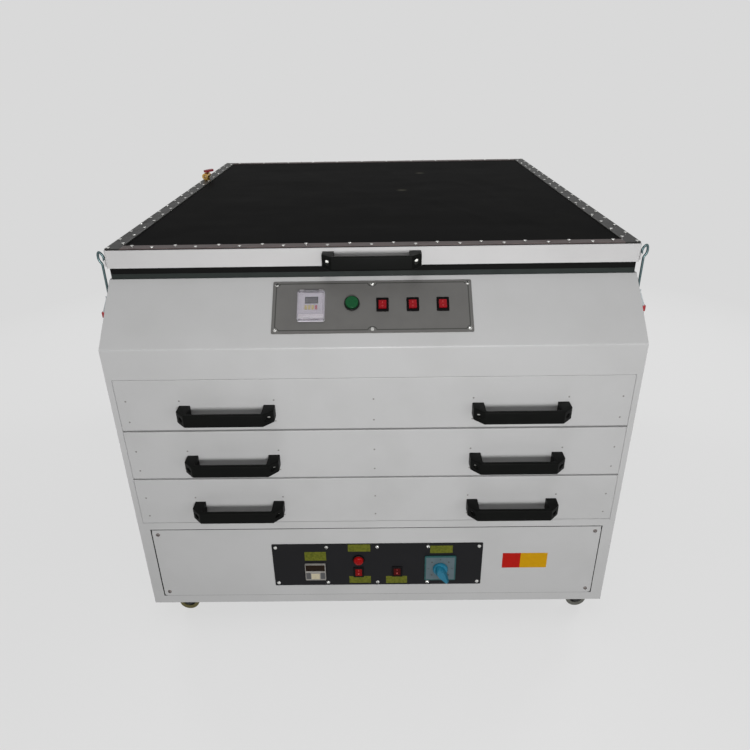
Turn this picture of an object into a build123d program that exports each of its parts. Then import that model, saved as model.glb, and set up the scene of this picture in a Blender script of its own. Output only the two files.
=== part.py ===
"""Screen printing exposure unit: a vacuum exposure table on a three-drawer drying cabinet.

The frame of the whole unit is millimetres, +X to the right as seen from the front, +Y to the rear and
+Z up. The origin is on the floor, under the middle of the unit's outer box.
"""

import math
import os

from build123d import *

os.makedirs("parts", exist_ok=True)

# ---- Cabinet, driving dimensions -------------------------------------------------------------------
body_width = 1100.0
body_depth = 1304.0
front_face_height = 686.0  # bottom edge up to the fold of the sloping console
slope_rise = 110.0  # fold up to the plane that carries the glass
slope_run = 117.0
sheet = 1.5
bend_radius = 6.0
tube = 30.0
tube_wall = 2.0
front_post_setback = 24.0
caster_height = 70.0

# ---- Lower service bay -----------------------------------------------------------------------------
apron_height = 246.0
apron_opening_width = 1000.0
apron_opening_bottom = 45.0
apron_opening_height = 163.0
bay_ceiling = 236.0
access_width = 1042.0
access_bottom = 25.0
access_height = 203.0
access_corner = 8.0
access_screw_inset = 13.0
plate_width = 497.0
plate_height = 127.0
plate_centre_x = 2.5
plate_bottom = 57.0
plate_thickness = 2.0
plate_screw_inset = 9.0
plate_screws_across = 5
plate_border = 18.0  # opening in the access panel stays this far inside the plate
plate_corner = 2.0

# ---- Drawers ---------------------------------------------------------------------------------------
drawer_count = 3
fascia_height = 68.5  # uppermost drawer's top edge up to the fold
stack_bottom = 244.6  # bottom edge up to the foot of the drawers' pitches
drawer_gap = 4.0
side_return = 11.0  # front return of each side sheet, beside the drawers
drawer_side_gap = 1.5
drawer_front_depth = 20.0
front_return = 25.0
plenum_depth = 284.0  # back of the trays to the cabinet's back, for the fan and heater
tray_height = 70.0
tray_drop = 24.0  # drawer front's top edge down to the tray's top edge
tray_tube = 20.0
tray_cross_bars = 7
tray_side_clearance = 4.0
rail_height = 24.0
rail_reach = 14.0
rail_wall = 2.0
runner_clearance = 0.5
drawer_handle_spacing = 614.0
drawer_handle_drop = 74.0  # drawer front's top edge down to the handle's middle

# ---- Bridge handle ---------------------------------------------------------------------------------
handle_length = 202.0
handle_reach = 45.0
handle_height = 28.0
handle_foot = 24.0
handle_inset = 20.0
handle_shoulder = 24.0
handle_bar = 8.0
handle_screw_spacing = 180.0
handle_screw_radius = 3.0
handle_screw_head_radius = 5.0
handle_screw_head_height = 6.0
handle_screw_seat = 17.0
handle_screw_tail = 8.0
handle_corner = 3.0
handle_bar_rounding = 2.0
screw_head_rounding = 3.0  # head height divided by this
screw_clearance = 0.3

# ---- Lamp chamber and glass ------------------------------------------------------------------------
deck_rise = 34.5  # uppermost drawer's top edge up to the lamp tray
tray_lip = 18.0
lamp_count = 12
lamp_first = 190.0  # front face back to the first lamp
lamp_last = 146.0  # last lamp back to the rear face
lamp_radius = 13.0
lamp_length = 980.0
lamp_axis_height = 42.0
holder_width = 24.0
holder_thickness = 12.0
holder_top = 18.0
glass_thickness = 10.0
rim_height = 11.0
rim_wall = 6.0
rim_inset = 3.0

# ---- Vacuum lid ------------------------------------------------------------------------------------
lid_front = 113.0  # cabinet's front face back to the lid's front face
lid_lift = 24.7  # plane that carries the glass up to the lid's underside
lid_corner = 3.0
lid_width = 1098.0
lid_tube_height = 37.6
lid_side_tube = 36.0
lid_end_tube = 36.0
lid_handle_rise = 16.6  # lid's underside up to the handle's middle
blanket_thickness = 1.5
blanket_margin = 3.0
clamp_bar_thickness = 2.0
clamp_bar_side = 31.0
clamp_bar_end = 24.0
clamp_bar_margin = 2.0
clamp_screw_pitch = 94.0
clamp_side_screw_pitch = 70.0
clamp_screw_row = 6.0
clamp_screw_head = 3.6
clamp_screw_head_height = 1.8
clamp_screw_shank = 2.0
clamp_screw_length = 7.0
seal_inset = 16.0
seal_width = 14.0
seal_flange_inset = 3.0  # lid's edge in to the flange over the glass rim
seal_flange_gap = 1.3
soft_gap = 0.3

# ---- Lid hinges ------------------------------------------------------------------------------------
hinge_spacing = 760.0
hinge_offset = 9.0
hinge_drop = 6.0
knuckle_radius = 8.0
knuckle_length = 26.0
knuckle_gap = 0.5
hinge_pin_radius = 4.0
running_clearance = 0.05
leaf_thickness = 3.0
leaf_height = 52.0

# ---- Console on the slope --------------------------------------------------------------------------
console_width = 410.0
console_height = 118.0
console_foot = 31.0  # fold up to the console's lower edge, along the slope
console_screw_inset = 8.0
console_window_width = 370.0
console_window_height = 84.0
console_corner = 3.0
device_row = 93.0
timer_x = -125.0
timer_row = 96.0
timer_size = 48.0
timer_bezel = 4.0
timer_body = 45.0
timer_depth = 60.0
timer_corner = 2.0
timer_display_width = 29.8
timer_display_height = 12.5
timer_display_up = 10.6
timer_display_depth = 1.0
timer_key_count = 4
timer_key_pitch = 7.0
timer_key_size = 5.0
timer_key_height = 9.0
timer_key_drop = 9.0
timer_key_travel = 1.0
timer_key_pocket = 3.0
timer_key_corner = 0.6
hood_width = 56.0
hood_height = 66.0
hood_depth = 9.0
hood_wall = 2.0
hood_corner = 3.0
hood_inner_corner = 2.0
hood_row = 90.0
hood_frame = 1.2
hood_lug_radius = 2.4
hood_lug_x = 20.0
hood_lug_length = 8.0
hood_axis_out = 3.0
hood_pin_radius = 1.0
hood_knuckle_length = 30.0
button_x = -41.6
button_row = 96.0
button_ring_radius = 15.8
button_cap_radius = 13.4
button_travel = 3.0
button_floor = 1.5
button_ring_height = 5.5
button_cap_height = 10.0
button_cap_rounding = 1.5
button_stem = 5.0
button_sleeve = 11.0
button_sleeve_depth = 30.0
button_stem_reach = 15.0
rocker_x = (20.9, 82.9, 144.3)
panel_screw_head = 4.6
panel_screw_head_height = 2.4
panel_screw_shank = 2.0
panel_screw_length = 7.0

# ---- Rocker switch ---------------------------------------------------------------------------------
rocker_bezel_width = 25.5
rocker_bezel_height = 31.0
rocker_bezel_depth = 2.5
rocker_bezel_corner = 1.5
rocker_bezel_chamfer = 0.8
rocker_bezel_lip = 2.0
rocker_body_depth = 18.0
rocker_body_wall = 2.2
rocker_pocket_depth = 10.5
rocker_half_width = 7.9
rocker_half_height = 9.2
rocker_end_lift = 3.8
rocker_dish = 1.9
rocker_under = 4.0
rocker_pivot_depth = 2.0
rocker_journal = 1.5
rocker_tilt = 8.0
rocker_play = 0.4
rocker_end_play = 1.2

# ---- Lower plate devices ---------------------------------------------------------------------------
controller_x = -146.0
controller_z = 102.0
controller_size = 49.0
controller_depth = 60.0
controller_face = 6.0
controller_corner = 1.5
controller_window_width = 42.1
controller_window_height = 18.6
controller_window_up = 11.8
controller_window_depth = 1.5
controller_block_width = 20.6
controller_block_height = 17.6
controller_block_down = 9.8
controller_block_depth = 2.0
lamp_bezel_radius = 14.5
lamp_bezel_depth = 3.0
lamp_lens_radius = 12.5
lamp_lens_height = 7.0
lamp_lens_taper = 18.0
lamp_sleeve = 10.0
lamp_sleeve_depth = 30.0
indicator_x = -42.3
indicator_z = 136.0
lower_rockers = ((-42.9, 98.0), (49.2, 99.0))
isolator_x = 152.0
isolator_z = 110.0
isolator_plate = 74.0
isolator_plate_depth = 4.0
isolator_plate_corner = 3.0
isolator_body = 50.0
isolator_depth = 55.0
isolator_shaft = 4.0
knob_radius = 18.0
knob_disc = 8.0
knob_grip_length = 50.0
knob_grip_tail = 15.5
knob_grip_width = 13.0
knob_grip_height = 14.0
knob_angle = -61.0

# ---- Side latches ----------------------------------------------------------------------------------
latch_y = 122.0
latch_pivot_out = 8.0
latch_pivot_drop = 39.0  # glass plane down to the lever's pin
latch_link_out = 2.0
latch_link_drop = 12.0
latch_plate = 2.0
latch_plate_width = 28.0
latch_plate_bottom = 83.0  # glass plane down to the base plate's lower edge
latch_plate_top = 30.0
ear_clearance = 0.5
latch_pin = 2.0
ear_thickness = 2.0
cheek_thickness = 3.0
cheek_outer = 9.0
lever_boss = 4.8
lever_plate = 3.0
lever_foot_drop = 74.0
lever_foot_out = 17.0
grip_thickness = 9.0
grip_height = 13.0
hook_wire = 2.5
hook_eye = 4.4
hook_rise = 80.0
hook_bend = 28.0  # rod's end up to the top of the bend
hook_bulge = 6.0  # rod out to the widest point of the bend
hook_bend_shape = ((0.6, 0.3), (1.0, 0.64), (0.45, 1.0))  # shares of the bulge and of the bend's rise
hook_tip_rise = 0.66  # share of the bend's rise where the tip turns straight
hook_tip_in = 5.0
hook_tip = 10.0
catch_reach = 2.5
catch_height = 14.0
catch_width = 20.0
catch_rise = 4.0

# ---- Casters ---------------------------------------------------------------------------------------
caster_x = 497.0
caster_inset = 56.0
wheel_radius = 25.0
wheel_width = 20.0
axle_radius = 4.0
wheel_rounding = 3.0
fork_trail = 12.0
fork_foot = 7.3
fork_leg = 2.5
fork_gap = 1.5
fork_width = 22.0
caster_plate = 64.0
caster_plate_thickness = 3.0
race_radius = 22.0
race_height = 4.0
crown_height = 4.0
crown_gap = 0.3
kingpin_radius = 5.0

# ---- Air valve on the lid --------------------------------------------------------------------------
valve_x = -534.0
valve_y = 942.0
valve_nipple = 5.0
valve_body_radius = 9.0
valve_body_length = 42.0
valve_nut_height = 7.0
valve_wall = 1.0
valve_axis_height = 13.0
valve_stem = 3.0
valve_stem_height = 3.0
valve_lever_length = 38.0
valve_lever_width = 14.0
valve_lever_thickness = 6.0
valve_lever_angle = 60.0

# ---- Service equipment -----------------------------------------------------------------------------
baffle_back_gap = 214.0  # rear face forward to the baffle
baffle_slot_x = 320.0
baffle_slot_length = 176.0
baffle_slot_height = 9.8
fan_x = 0.0
fan_drop = 232.0  # lamp tray down to the fan's shaft
fan_frame = 220.0
fan_frame_depth = 60.0
fan_bore = 98.0
fan_tip_gap = 4.0
fan_hub = 30.0
fan_blades = 7
fan_blade_depth = 30.0
fan_blade_thickness = 3.0
fan_blade_root = 27.0
fan_shaft = 5.0
fan_strut = 14.0
heater_rods = 4
heater_radius = 6.0
heater_length = 520.0
heater_pitch = 27.2
heater_drop = 81.8  # lamp tray down to the middle of the heater rods
heater_stand = 60.0
heater_bracket_width = 120.0
heater_bracket_height = 54.4
heater_bracket_low = 27.2
heater_bracket_thickness = 3.0
pump_x = -260.0
pump_y = 520.0
pump_radius = 55.0
pump_length = 210.0
pump_foot = 18.0
pump_foot_length = 168.0
pump_saddle = 22.0
pump_box_width = 71.5
pump_box_length = 63.0
pump_box_height = 68.75
pump_box_back = 157.5
ballast_count = 4
ballast_pitch = 70.0
ballast_x = 150.0
ballast_y = 420.0
ballast_width = 42.0
ballast_length = 240.0
ballast_height = 38.0
gland_x = 380.0
gland_z = 120.0
gland_reach = 28.0
gland_radius = 12.0
gland_nut = 6.0
gland_dome = 10.0
gland_rounding = 3.0
gland_tail = 12.0
gland_bore = 5.0
gland_thread = 8.0
nut_sides = 6

# ---- Vents in the rear sheet -----------------------------------------------------------------------
vent_columns = 5
vent_rows = 6
vent_length = 110.0
vent_height = 7.0
vent_pitch = 143.0
vent_rise = 18.0
vent_x = -150.0
vent_middle = 120.0  # bottom edge up to the middle of the lower vents
lamp_vent_rows = 2
lamp_vent_rise = 70.0  # lamp tray up to the middle of the upper vents

# ---- Worked out from the dimensions above ----------------------------------------------------------
half_width = body_width / 2
inner_x = half_width - sheet
front_y = -(body_depth + gland_reach - handle_reach) / 2
back_y = front_y + body_depth
base_z = caster_height
cabinet_height = front_face_height + slope_rise
glass_seat = base_z + cabinet_height
drawer_top = front_face_height - fascia_height
drawer_pitch = (drawer_top - stack_bottom) / drawer_count
tray_depth = body_depth - drawer_front_depth - plenum_depth
chamber_floor = drawer_top + deck_rise
lamp_pitch = (body_depth - lamp_first - lamp_last) / (lamp_count - 1)
fan_z = chamber_floor - fan_drop
post_x = inner_x - tube
front_post_y = front_y + front_post_setback
rear_post_y = back_y - sheet - tube
console_y = front_y + slope_run
lid_front_y = front_y + lid_front
lid_half = lid_width / 2
lid_bottom = glass_seat + lid_lift
lid_top = lid_bottom + lid_tube_height
blanket_top = lid_top + blanket_thickness
bar_top = blanket_top + clamp_bar_thickness
lid_depth = back_y - lid_front_y
lid_mid_y = (lid_front_y + back_y) / 2

slope_plane = Plane(
    origin=(0, front_y, base_z + front_face_height),
    x_dir=(1, 0, 0),
    z_dir=(0, -slope_rise, slope_run),
)
front_plane = Plane(origin=(0, front_y, base_z), x_dir=(1, 0, 0), z_dir=(0, -1, 0))
access_face = front_plane.offset(sheet)
plate_face = front_plane.offset(sheet + plate_thickness)
console_face = slope_plane.offset(plate_thickness)


def block(low, high, mode=Mode.ADD):
    """Add or cut the box between two opposite corners in the part being built."""
    size = [b - a for a, b in zip(low, high)]
    with Locations(Vector(*low)):
        Box(*size, align=(Align.MIN, Align.MIN, Align.MIN), mode=mode)


def on_plane(plane, x, up):
    """The plane moved to a point of itself."""
    return Plane(origin=plane.from_local_coords((x, up, 0)), x_dir=plane.x_dir, z_dir=plane.z_dir)


def screw(head_radius, head_height, shank_radius, shank_length):
    """A cap screw standing on z = 0, its shank below."""
    with BuildPart() as fastener:
        Cylinder(head_radius, head_height, align=(Align.CENTER, Align.CENTER, Align.MIN))
        fillet(fastener.edges().group_by(Axis.Z)[-1], head_height / screw_head_rounding)
        Cylinder(shank_radius, shank_length, align=(Align.CENTER, Align.CENTER, Align.MAX))
    return fastener.part


# ======================================== Cabinet frame =============================================
deck_z = base_z + chamber_floor
bay_z = base_z + bay_ceiling
rails_z = (base_z, bay_z - tube, deck_z - tube)
drawer_tops = [base_z + drawer_top - drawer_pitch * row for row in range(drawer_count)]
drawer_front_height = drawer_pitch - drawer_gap
rail_z = [top - tray_drop - tray_height / 2 for top in drawer_tops]

members = []
for side in (-1, 1):
    near, far = sorted((side * post_x, side * inner_x))
    members.append(((near, front_post_y, base_z), (far, front_post_y + tube, deck_z)))
    members.append(((near, rear_post_y, base_z), (far, rear_post_y + tube, glass_seat)))
    members.append(((near, console_y, deck_z - tube), (far, console_y + tube, glass_seat)))
    members.append(((near, console_y, glass_seat - tube), (far, rear_post_y + tube, glass_seat)))
    for low in rails_z:
        members.append(((near, front_post_y, low), (far, rear_post_y + tube, low + tube)))
for low in rails_z:
    members.append(((-inner_x, front_post_y, low), (inner_x, front_post_y + tube, low + tube)))
    members.append(((-inner_x, rear_post_y, low), (inner_x, rear_post_y + tube, low + tube)))
members.append(((-inner_x, console_y, glass_seat - tube), (inner_x, console_y + tube, glass_seat)))
members.append(((-inner_x, rear_post_y, glass_seat - tube), (inner_x, rear_post_y + tube, glass_seat)))

with BuildPart() as cabinet_frame:
    for low, high in members:
        block(low, high)
    for low, high in members:
        block([v + tube_wall for v in low], [v - tube_wall for v in high], Mode.SUBTRACT)
    # One inward-facing channel on each side for every drawer.
    for side in (-1, 1):
        near, far = sorted((side * (post_x - rail_reach), side * post_x))
        slot_near, slot_far = sorted((side * (post_x - rail_reach), side * (post_x - rail_wall)))
        for middle in rail_z:
            low, high = middle - rail_height / 2, middle + rail_height / 2
            block((near, front_post_y, low), (far, rear_post_y + tube, high))
            block(
                (slot_near, front_post_y, low + rail_wall),
                (slot_far, rear_post_y, high - rail_wall),
                Mode.SUBTRACT,
            )
cabinet_frame.part.label = "cabinet_frame"
export_step(cabinet_frame.part, "parts/cabinet_frame.step")

# ======================================== Casing sheets =============================================
apron_top = base_z + apron_height
fascia_bottom = base_z + drawer_top + sheet / 2
fold_z = base_z + front_face_height
vent_z = base_z + vent_middle
lamp_vent_z = deck_z + lamp_vent_rise

with BuildPart() as casing_panels:
    for side in (-1, 1):
        near, far = sorted((side * inner_x, side * half_width))
        with BuildSketch(Plane.YZ.offset(near)):
            with BuildLine():
                Polyline(
                    (front_y, base_z),
                    (front_y, fold_z),
                    (console_y, glass_seat),
                    (back_y, glass_seat),
                    (back_y, base_z),
                    close=True,
                )
            make_face()
        extrude(amount=far - near)
        near, far = sorted((side * (half_width - side_return), side * inner_x))
        block((near, front_y, apron_top), (far, front_y + sheet, fascia_bottom))
    block(
        (-inner_x + soft_gap, back_y - sheet, base_z),
        (inner_x - soft_gap, back_y, glass_seat),
    )
    with BuildSketch(Plane.XZ.offset(-back_y)):
        with Locations((vent_x, vent_z)):
            with GridLocations(vent_pitch, vent_rise, vent_columns, vent_rows):
                SlotOverall(vent_length, vent_height)
        with Locations((0, lamp_vent_z)):
            with GridLocations(vent_pitch, vent_rise, vent_columns, lamp_vent_rows):
                SlotOverall(vent_length, vent_height)
        with Locations((gland_x, base_z + gland_z)):
            Circle(gland_thread + screw_clearance)
    extrude(amount=sheet, mode=Mode.SUBTRACT)
casing_panels.part.label = "casing_panels"
export_step(casing_panels.part, "parts/casing_panels.step")

with BuildPart() as base_pan:
    block((-inner_x, front_y, base_z), (inner_x, front_y + sheet, apron_top))
    block((-inner_x, front_y + sheet, apron_top - sheet), (inner_x, front_post_y, apron_top))
    block(
        (-post_x + screw_clearance, front_y + sheet, base_z + tube),
        (post_x - screw_clearance, rear_post_y + tube, base_z + tube + sheet),
    )
    with BuildSketch(front_plane):
        with Locations((0, apron_opening_bottom + apron_opening_height / 2)):
            RectangleRounded(apron_opening_width, apron_opening_height, access_corner)
        with Locations((0, access_bottom + access_height / 2)):
            with GridLocations(
                access_width - 2 * access_screw_inset, access_height - 2 * access_screw_inset, 2, 2
            ):
                Circle(panel_screw_shank + screw_clearance)
    extrude(amount=-sheet, mode=Mode.SUBTRACT)
base_pan.part.label = "base_pan"
export_step(base_pan.part, "parts/base_pan.step")

baffle_front = back_y - baffle_back_gap
baffle_back = baffle_front + sheet
liner_x = post_x - rail_reach - drawer_side_gap
fan_centre = (fan_x, base_z + fan_z)
with BuildPart() as chamber_liner:
    block((-liner_x, front_post_y, bay_z), (liner_x, baffle_back, bay_z + sheet))
    block((-liner_x, baffle_front, bay_z), (liner_x, baffle_back, deck_z - tube))
    with BuildSketch(Plane.XZ.offset(-baffle_back)):
        with Locations(fan_centre):
            Circle(fan_bore)
        for side in (-1, 1):
            with Locations((side * baffle_slot_x, base_z + fan_z)):
                with GridLocations(1, 2 * vent_rise, 1, vent_rows):
                    SlotOverall(baffle_slot_length, baffle_slot_height)
    extrude(amount=sheet, mode=Mode.SUBTRACT)
chamber_liner.part.label = "chamber_liner"
export_step(chamber_liner.part, "parts/chamber_liner.step")

with BuildPart() as front_cover:
    with BuildSketch(Plane.YZ.offset(-inner_x)):
        with BuildLine():
            Polyline(
                (front_y, fascia_bottom),
                (front_y, fold_z),
                (console_y, glass_seat),
                (console_y + slope_run, glass_seat),
                (console_y + slope_run, fascia_bottom),
                close=True,
            )
        make_face()
        offset(amount=-sheet, kind=Kind.INTERSECTION, mode=Mode.SUBTRACT)
        with Locations((front_y + front_post_setback - drawer_gap, fascia_bottom)):
            Rectangle(slope_run * 2, sheet, align=(Align.MIN, Align.MIN), mode=Mode.SUBTRACT)
        with Locations((console_y, fascia_bottom)):
            Rectangle(slope_run, slope_rise * 3, align=(Align.MIN, Align.MIN), mode=Mode.SUBTRACT)
    extrude(amount=2 * inner_x)
    fold_edges = front_cover.edges().filter_by(Axis.X)
    outer_fold = fold_edges.sort_by_distance((0, front_y, fold_z))[0]
    fillet(outer_fold, bend_radius)
    with BuildSketch(slope_plane):
        with Locations((0, console_foot + console_height / 2)):
            RectangleRounded(console_window_width, console_window_height, bend_radius)
            with GridLocations(
                (console_width - 2 * console_screw_inset) / 2,
                console_height - 2 * console_screw_inset,
                3,
                2,
            ):
                Circle(panel_screw_shank + screw_clearance)
    extrude(amount=-2 * sheet, mode=Mode.SUBTRACT)
front_cover.part.label = "front_cover"
export_step(front_cover.part, "parts/front_cover.step")

# ======================================== Glass and lamps ===========================================
rim_half = half_width - rim_inset
rim_front = console_y + rim_inset / 2
rim_back = back_y - rim_inset / 2
rim_mid = (rim_front + rim_back) / 2
rim_depth = rim_back - rim_front

with BuildPart() as glass_rim:
    with BuildSketch(Plane.XY.offset(glass_seat)):
        with Locations((0, rim_mid)):
            RectangleRounded(2 * rim_half, rim_depth, rim_wall)
            Rectangle(2 * (rim_half - rim_wall), rim_depth - 2 * rim_wall, mode=Mode.SUBTRACT)
    extrude(amount=rim_height)
glass_rim.part.label = "glass_rim"
export_step(glass_rim.part, "parts/glass_rim.step")

with BuildPart() as exposure_glass:
    with BuildSketch(Plane.XY.offset(glass_seat)):
        with Locations((0, rim_mid)):
            Rectangle(2 * (rim_half - rim_wall), rim_depth - 2 * rim_wall)
    extrude(amount=glass_thickness)
exposure_glass.part.label = "exposure_glass"
export_step(exposure_glass.part, "parts/exposure_glass.step")

deck_half = post_x - screw_clearance
deck_top = deck_z + sheet
lamp_z = deck_top + lamp_axis_height
lamp_rows = [front_y + lamp_first + lamp_pitch * n for n in range(lamp_count)]
with BuildPart() as lamp_tray:
    block((-deck_half, front_post_y, deck_z), (deck_half, rear_post_y + tube, deck_top + tray_lip))
    block(
        (-deck_half + sheet, front_post_y + sheet, deck_top),
        (deck_half - sheet, rear_post_y + tube - sheet, deck_top + tray_lip),
        Mode.SUBTRACT,
    )
    # Lampholders, a pair for each lamp.
    for side in (-1, 1):
        near, far = sorted((side * lamp_length / 2, side * (lamp_length / 2 + holder_thickness)))
        for row in lamp_rows:
            block(
                (near, row - holder_width / 2, deck_top + soft_gap),
                (far, row + holder_width / 2, lamp_z + holder_top),
            )
lamp_tray.part.label = "lamp_tray"
export_step(lamp_tray.part, "parts/lamp_tray.step")

with BuildPart() as uv_tubes:
    with BuildSketch(Plane.YZ.offset(-lamp_length / 2)):
        with Locations([(row, lamp_z) for row in lamp_rows]):
            Circle(lamp_radius)
    extrude(amount=lamp_length)
uv_tubes.part.label = "uv_tubes"
export_step(uv_tubes.part, "parts/uv_tubes.step")

# ======================================== Service equipment =========================================
pan_top = base_z + tube + sheet
with BuildPart() as ballasts:
    for n in range(ballast_count):
        left = ballast_x + ballast_pitch * n
        near = front_y + ballast_y
        block(
            (left, near, pan_top),
            (left + ballast_width, near + ballast_length, pan_top + ballast_height),
        )
ballasts.part.label = "ballasts"
export_step(ballasts.part, "parts/ballasts.step")

pump_z = pan_top + pump_foot + pump_radius
with BuildPart() as vacuum_pump:
    with BuildSketch(Plane.XZ.offset(-(front_y + pump_y))):
        with Locations((pump_x, pump_z)):
            Circle(pump_radius)
    extrude(amount=pump_length)
    with BuildSketch(Plane.XY.offset(pan_top)):
        with Locations((pump_x, front_y + pump_y - pump_length / 2)):
            Rectangle(pump_radius * 2, pump_foot_length)
    extrude(amount=pump_foot + pump_saddle)
    with BuildSketch(Plane.XY.offset(pump_z)):
        with Locations((pump_x, front_y + pump_y - pump_box_back)):
            Rectangle(pump_box_width, pump_box_length)
    extrude(amount=pump_box_height)
vacuum_pump.part.label = "vacuum_pump"
export_step(vacuum_pump.part, "parts/vacuum_pump.step")

heater_middle = deck_z - heater_drop
fan_plane = Plane(origin=(fan_x, baffle_back, base_z + fan_z), x_dir=(1, 0, 0), z_dir=(0, 1, 0))
with BuildPart() as hot_air_unit:
    with BuildSketch(fan_plane):
        RectangleRounded(fan_frame, fan_frame, bend_radius)
        Circle(fan_bore, mode=Mode.SUBTRACT)
    extrude(amount=fan_frame_depth)
    # Motor on a cross strut behind the blades, with its shaft towards the baffle.
    with BuildSketch(fan_plane.offset(fan_frame_depth)):
        Rectangle(fan_frame, fan_strut)
        Rectangle(fan_strut, fan_frame)
        Circle(fan_hub)
    extrude(amount=fan_strut)
    with BuildSketch(fan_plane.offset(sheet)):
        Circle(fan_shaft)
    extrude(amount=fan_frame_depth)
    # Heater rods between two end brackets above the fan, on the back of the baffle.
    for side in (-1, 1):
        bracket_end = heater_length / 2 + heater_bracket_thickness
        near, far = sorted((side * heater_length / 2, side * bracket_end))
        low = heater_middle - heater_bracket_low
        block(
            (near, baffle_back, low),
            (far, baffle_back + heater_bracket_width, low + heater_bracket_height),
        )
    with BuildSketch(Plane.YZ.offset(-heater_length / 2)):
        with Locations((baffle_back + heater_stand, heater_middle)):
            with GridLocations(heater_pitch, heater_pitch, heater_rods // 2, 2):
                Circle(heater_radius)
    extrude(amount=heater_length)
hot_air_unit.part.label = "hot_air_unit"
export_step(hot_air_unit.part, "parts/hot_air_unit.step")

blade_front = (fan_frame_depth - fan_blade_depth) / 2
blade_tip = fan_bore - fan_tip_gap
with BuildPart() as fan_impeller:
    with BuildSketch(fan_plane.offset(blade_front)):
        Circle(fan_hub)
    extrude(amount=fan_blade_depth)
    with BuildSketch(fan_plane.offset(blade_front)):
        with PolarLocations((blade_tip + fan_blade_root) / 2, fan_blades):
            Rectangle(blade_tip - fan_blade_root, fan_blade_thickness)
    extrude(amount=fan_blade_depth)
    with BuildSketch(fan_plane):
        Circle(fan_shaft + running_clearance)
    extrude(amount=fan_frame_depth, mode=Mode.SUBTRACT)
fan_impeller.part.label = "fan_impeller"
export_step(fan_impeller.part, "parts/fan_impeller.step")

gland_plane = Plane(origin=(gland_x, back_y, base_z + gland_z), x_dir=(1, 0, 0), z_dir=(0, 1, 0))
with BuildPart() as cable_gland:
    with BuildSketch(gland_plane):
        RegularPolygon(gland_radius, nut_sides)
    extrude(amount=gland_nut)
    with BuildSketch(gland_plane.offset(gland_nut)):
        Circle(gland_dome)
    extrude(amount=gland_reach - gland_nut)
    fillet(cable_gland.edges().group_by(Axis.Y)[-1], gland_rounding)
    with BuildSketch(gland_plane):
        Circle(gland_thread)
    extrude(amount=-gland_tail)
    with BuildSketch(gland_plane.offset(-gland_tail)):
        Circle(gland_bore)
    extrude(amount=gland_tail + gland_reach, mode=Mode.SUBTRACT)
cable_gland.part.label = "cable_gland"
export_step(cable_gland.part, "parts/cable_gland.step")

# ======================================== Console and plates ========================================
console_mid = console_foot + console_height / 2
console_screws = [
    (x, console_mid + up)
    for x in (-console_width / 2 + console_screw_inset, 0, console_width / 2 - console_screw_inset)
    for up in (-console_height / 2 + console_screw_inset, console_height / 2 - console_screw_inset)
]
plate_mid = plate_bottom + plate_height / 2
plate_screw_pitch = (plate_width - 2 * plate_screw_inset) / (plate_screws_across - 1)
plate_screws = [
    (plate_centre_x + plate_screw_pitch * (n - (plate_screws_across - 1) / 2), plate_mid + up)
    for n in range(plate_screws_across)
    for up in (-plate_height / 2 + plate_screw_inset, plate_height / 2 - plate_screw_inset)
]
access_mid = access_bottom + access_height / 2
access_screws = [
    (x, access_mid + up)
    for x in (-access_width / 2 + access_screw_inset, access_width / 2 - access_screw_inset)
    for up in (-access_height / 2 + access_screw_inset, access_height / 2 - access_screw_inset)
]
rocker_body_width = rocker_bezel_width - 2 * rocker_bezel_lip
rocker_body_height = rocker_bezel_height - 2 * rocker_bezel_lip
rocker_hole_width = rocker_body_width + screw_clearance
rocker_hole_height = rocker_body_height + screw_clearance

with BuildPart() as control_panel:
    with BuildSketch(slope_plane):
        with Locations((0, console_mid)):
            RectangleRounded(console_width, console_height, console_corner)
        with Locations((timer_x, timer_row)):
            Rectangle(timer_body + screw_clearance, timer_body + screw_clearance, mode=Mode.SUBTRACT)
        with Locations((button_x, button_row)):
            Circle(button_sleeve + screw_clearance, mode=Mode.SUBTRACT)
        with Locations([(x, device_row) for x in rocker_x]):
            Rectangle(rocker_hole_width, rocker_hole_height, mode=Mode.SUBTRACT)
        with Locations(console_screws):
            Circle(panel_screw_shank + screw_clearance, mode=Mode.SUBTRACT)
    extrude(amount=plate_thickness)
control_panel.part.label = "control_panel"
export_step(control_panel.part, "parts/control_panel.step")

with BuildPart() as access_panel:
    with BuildSketch(front_plane):
        with Locations((0, access_mid)):
            RectangleRounded(access_width, access_height, access_corner)
        with Locations((plate_centre_x, plate_mid)):
            opening = (plate_width - 2 * plate_border, plate_height - 2 * plate_border)
            Rectangle(*opening, mode=Mode.SUBTRACT)
        with Locations(access_screws + plate_screws):
            Circle(panel_screw_shank + screw_clearance, mode=Mode.SUBTRACT)
    extrude(amount=sheet)
access_panel.part.label = "access_panel"
export_step(access_panel.part, "parts/access_panel.step")

with BuildPart() as dryer_plate:
    with BuildSketch(access_face):
        with Locations((plate_centre_x, plate_mid)):
            RectangleRounded(plate_width, plate_height, plate_corner)
        with Locations((controller_x, controller_z)):
            Rectangle(timer_body + screw_clearance, timer_body + screw_clearance, mode=Mode.SUBTRACT)
        with Locations((indicator_x, indicator_z)):
            Circle(lamp_sleeve + screw_clearance, mode=Mode.SUBTRACT)
        with Locations(lower_rockers):
            Rectangle(rocker_hole_width, rocker_hole_height, mode=Mode.SUBTRACT)
        with Locations((isolator_x, isolator_z)):
            Rectangle(isolator_body + screw_clearance, isolator_body + screw_clearance, mode=Mode.SUBTRACT)
        with Locations(plate_screws):
            Circle(panel_screw_shank + screw_clearance, mode=Mode.SUBTRACT)
    extrude(amount=plate_thickness)
dryer_plate.part.label = "dryer_plate"
export_step(dryer_plate.part, "parts/dryer_plate.step")

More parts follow.
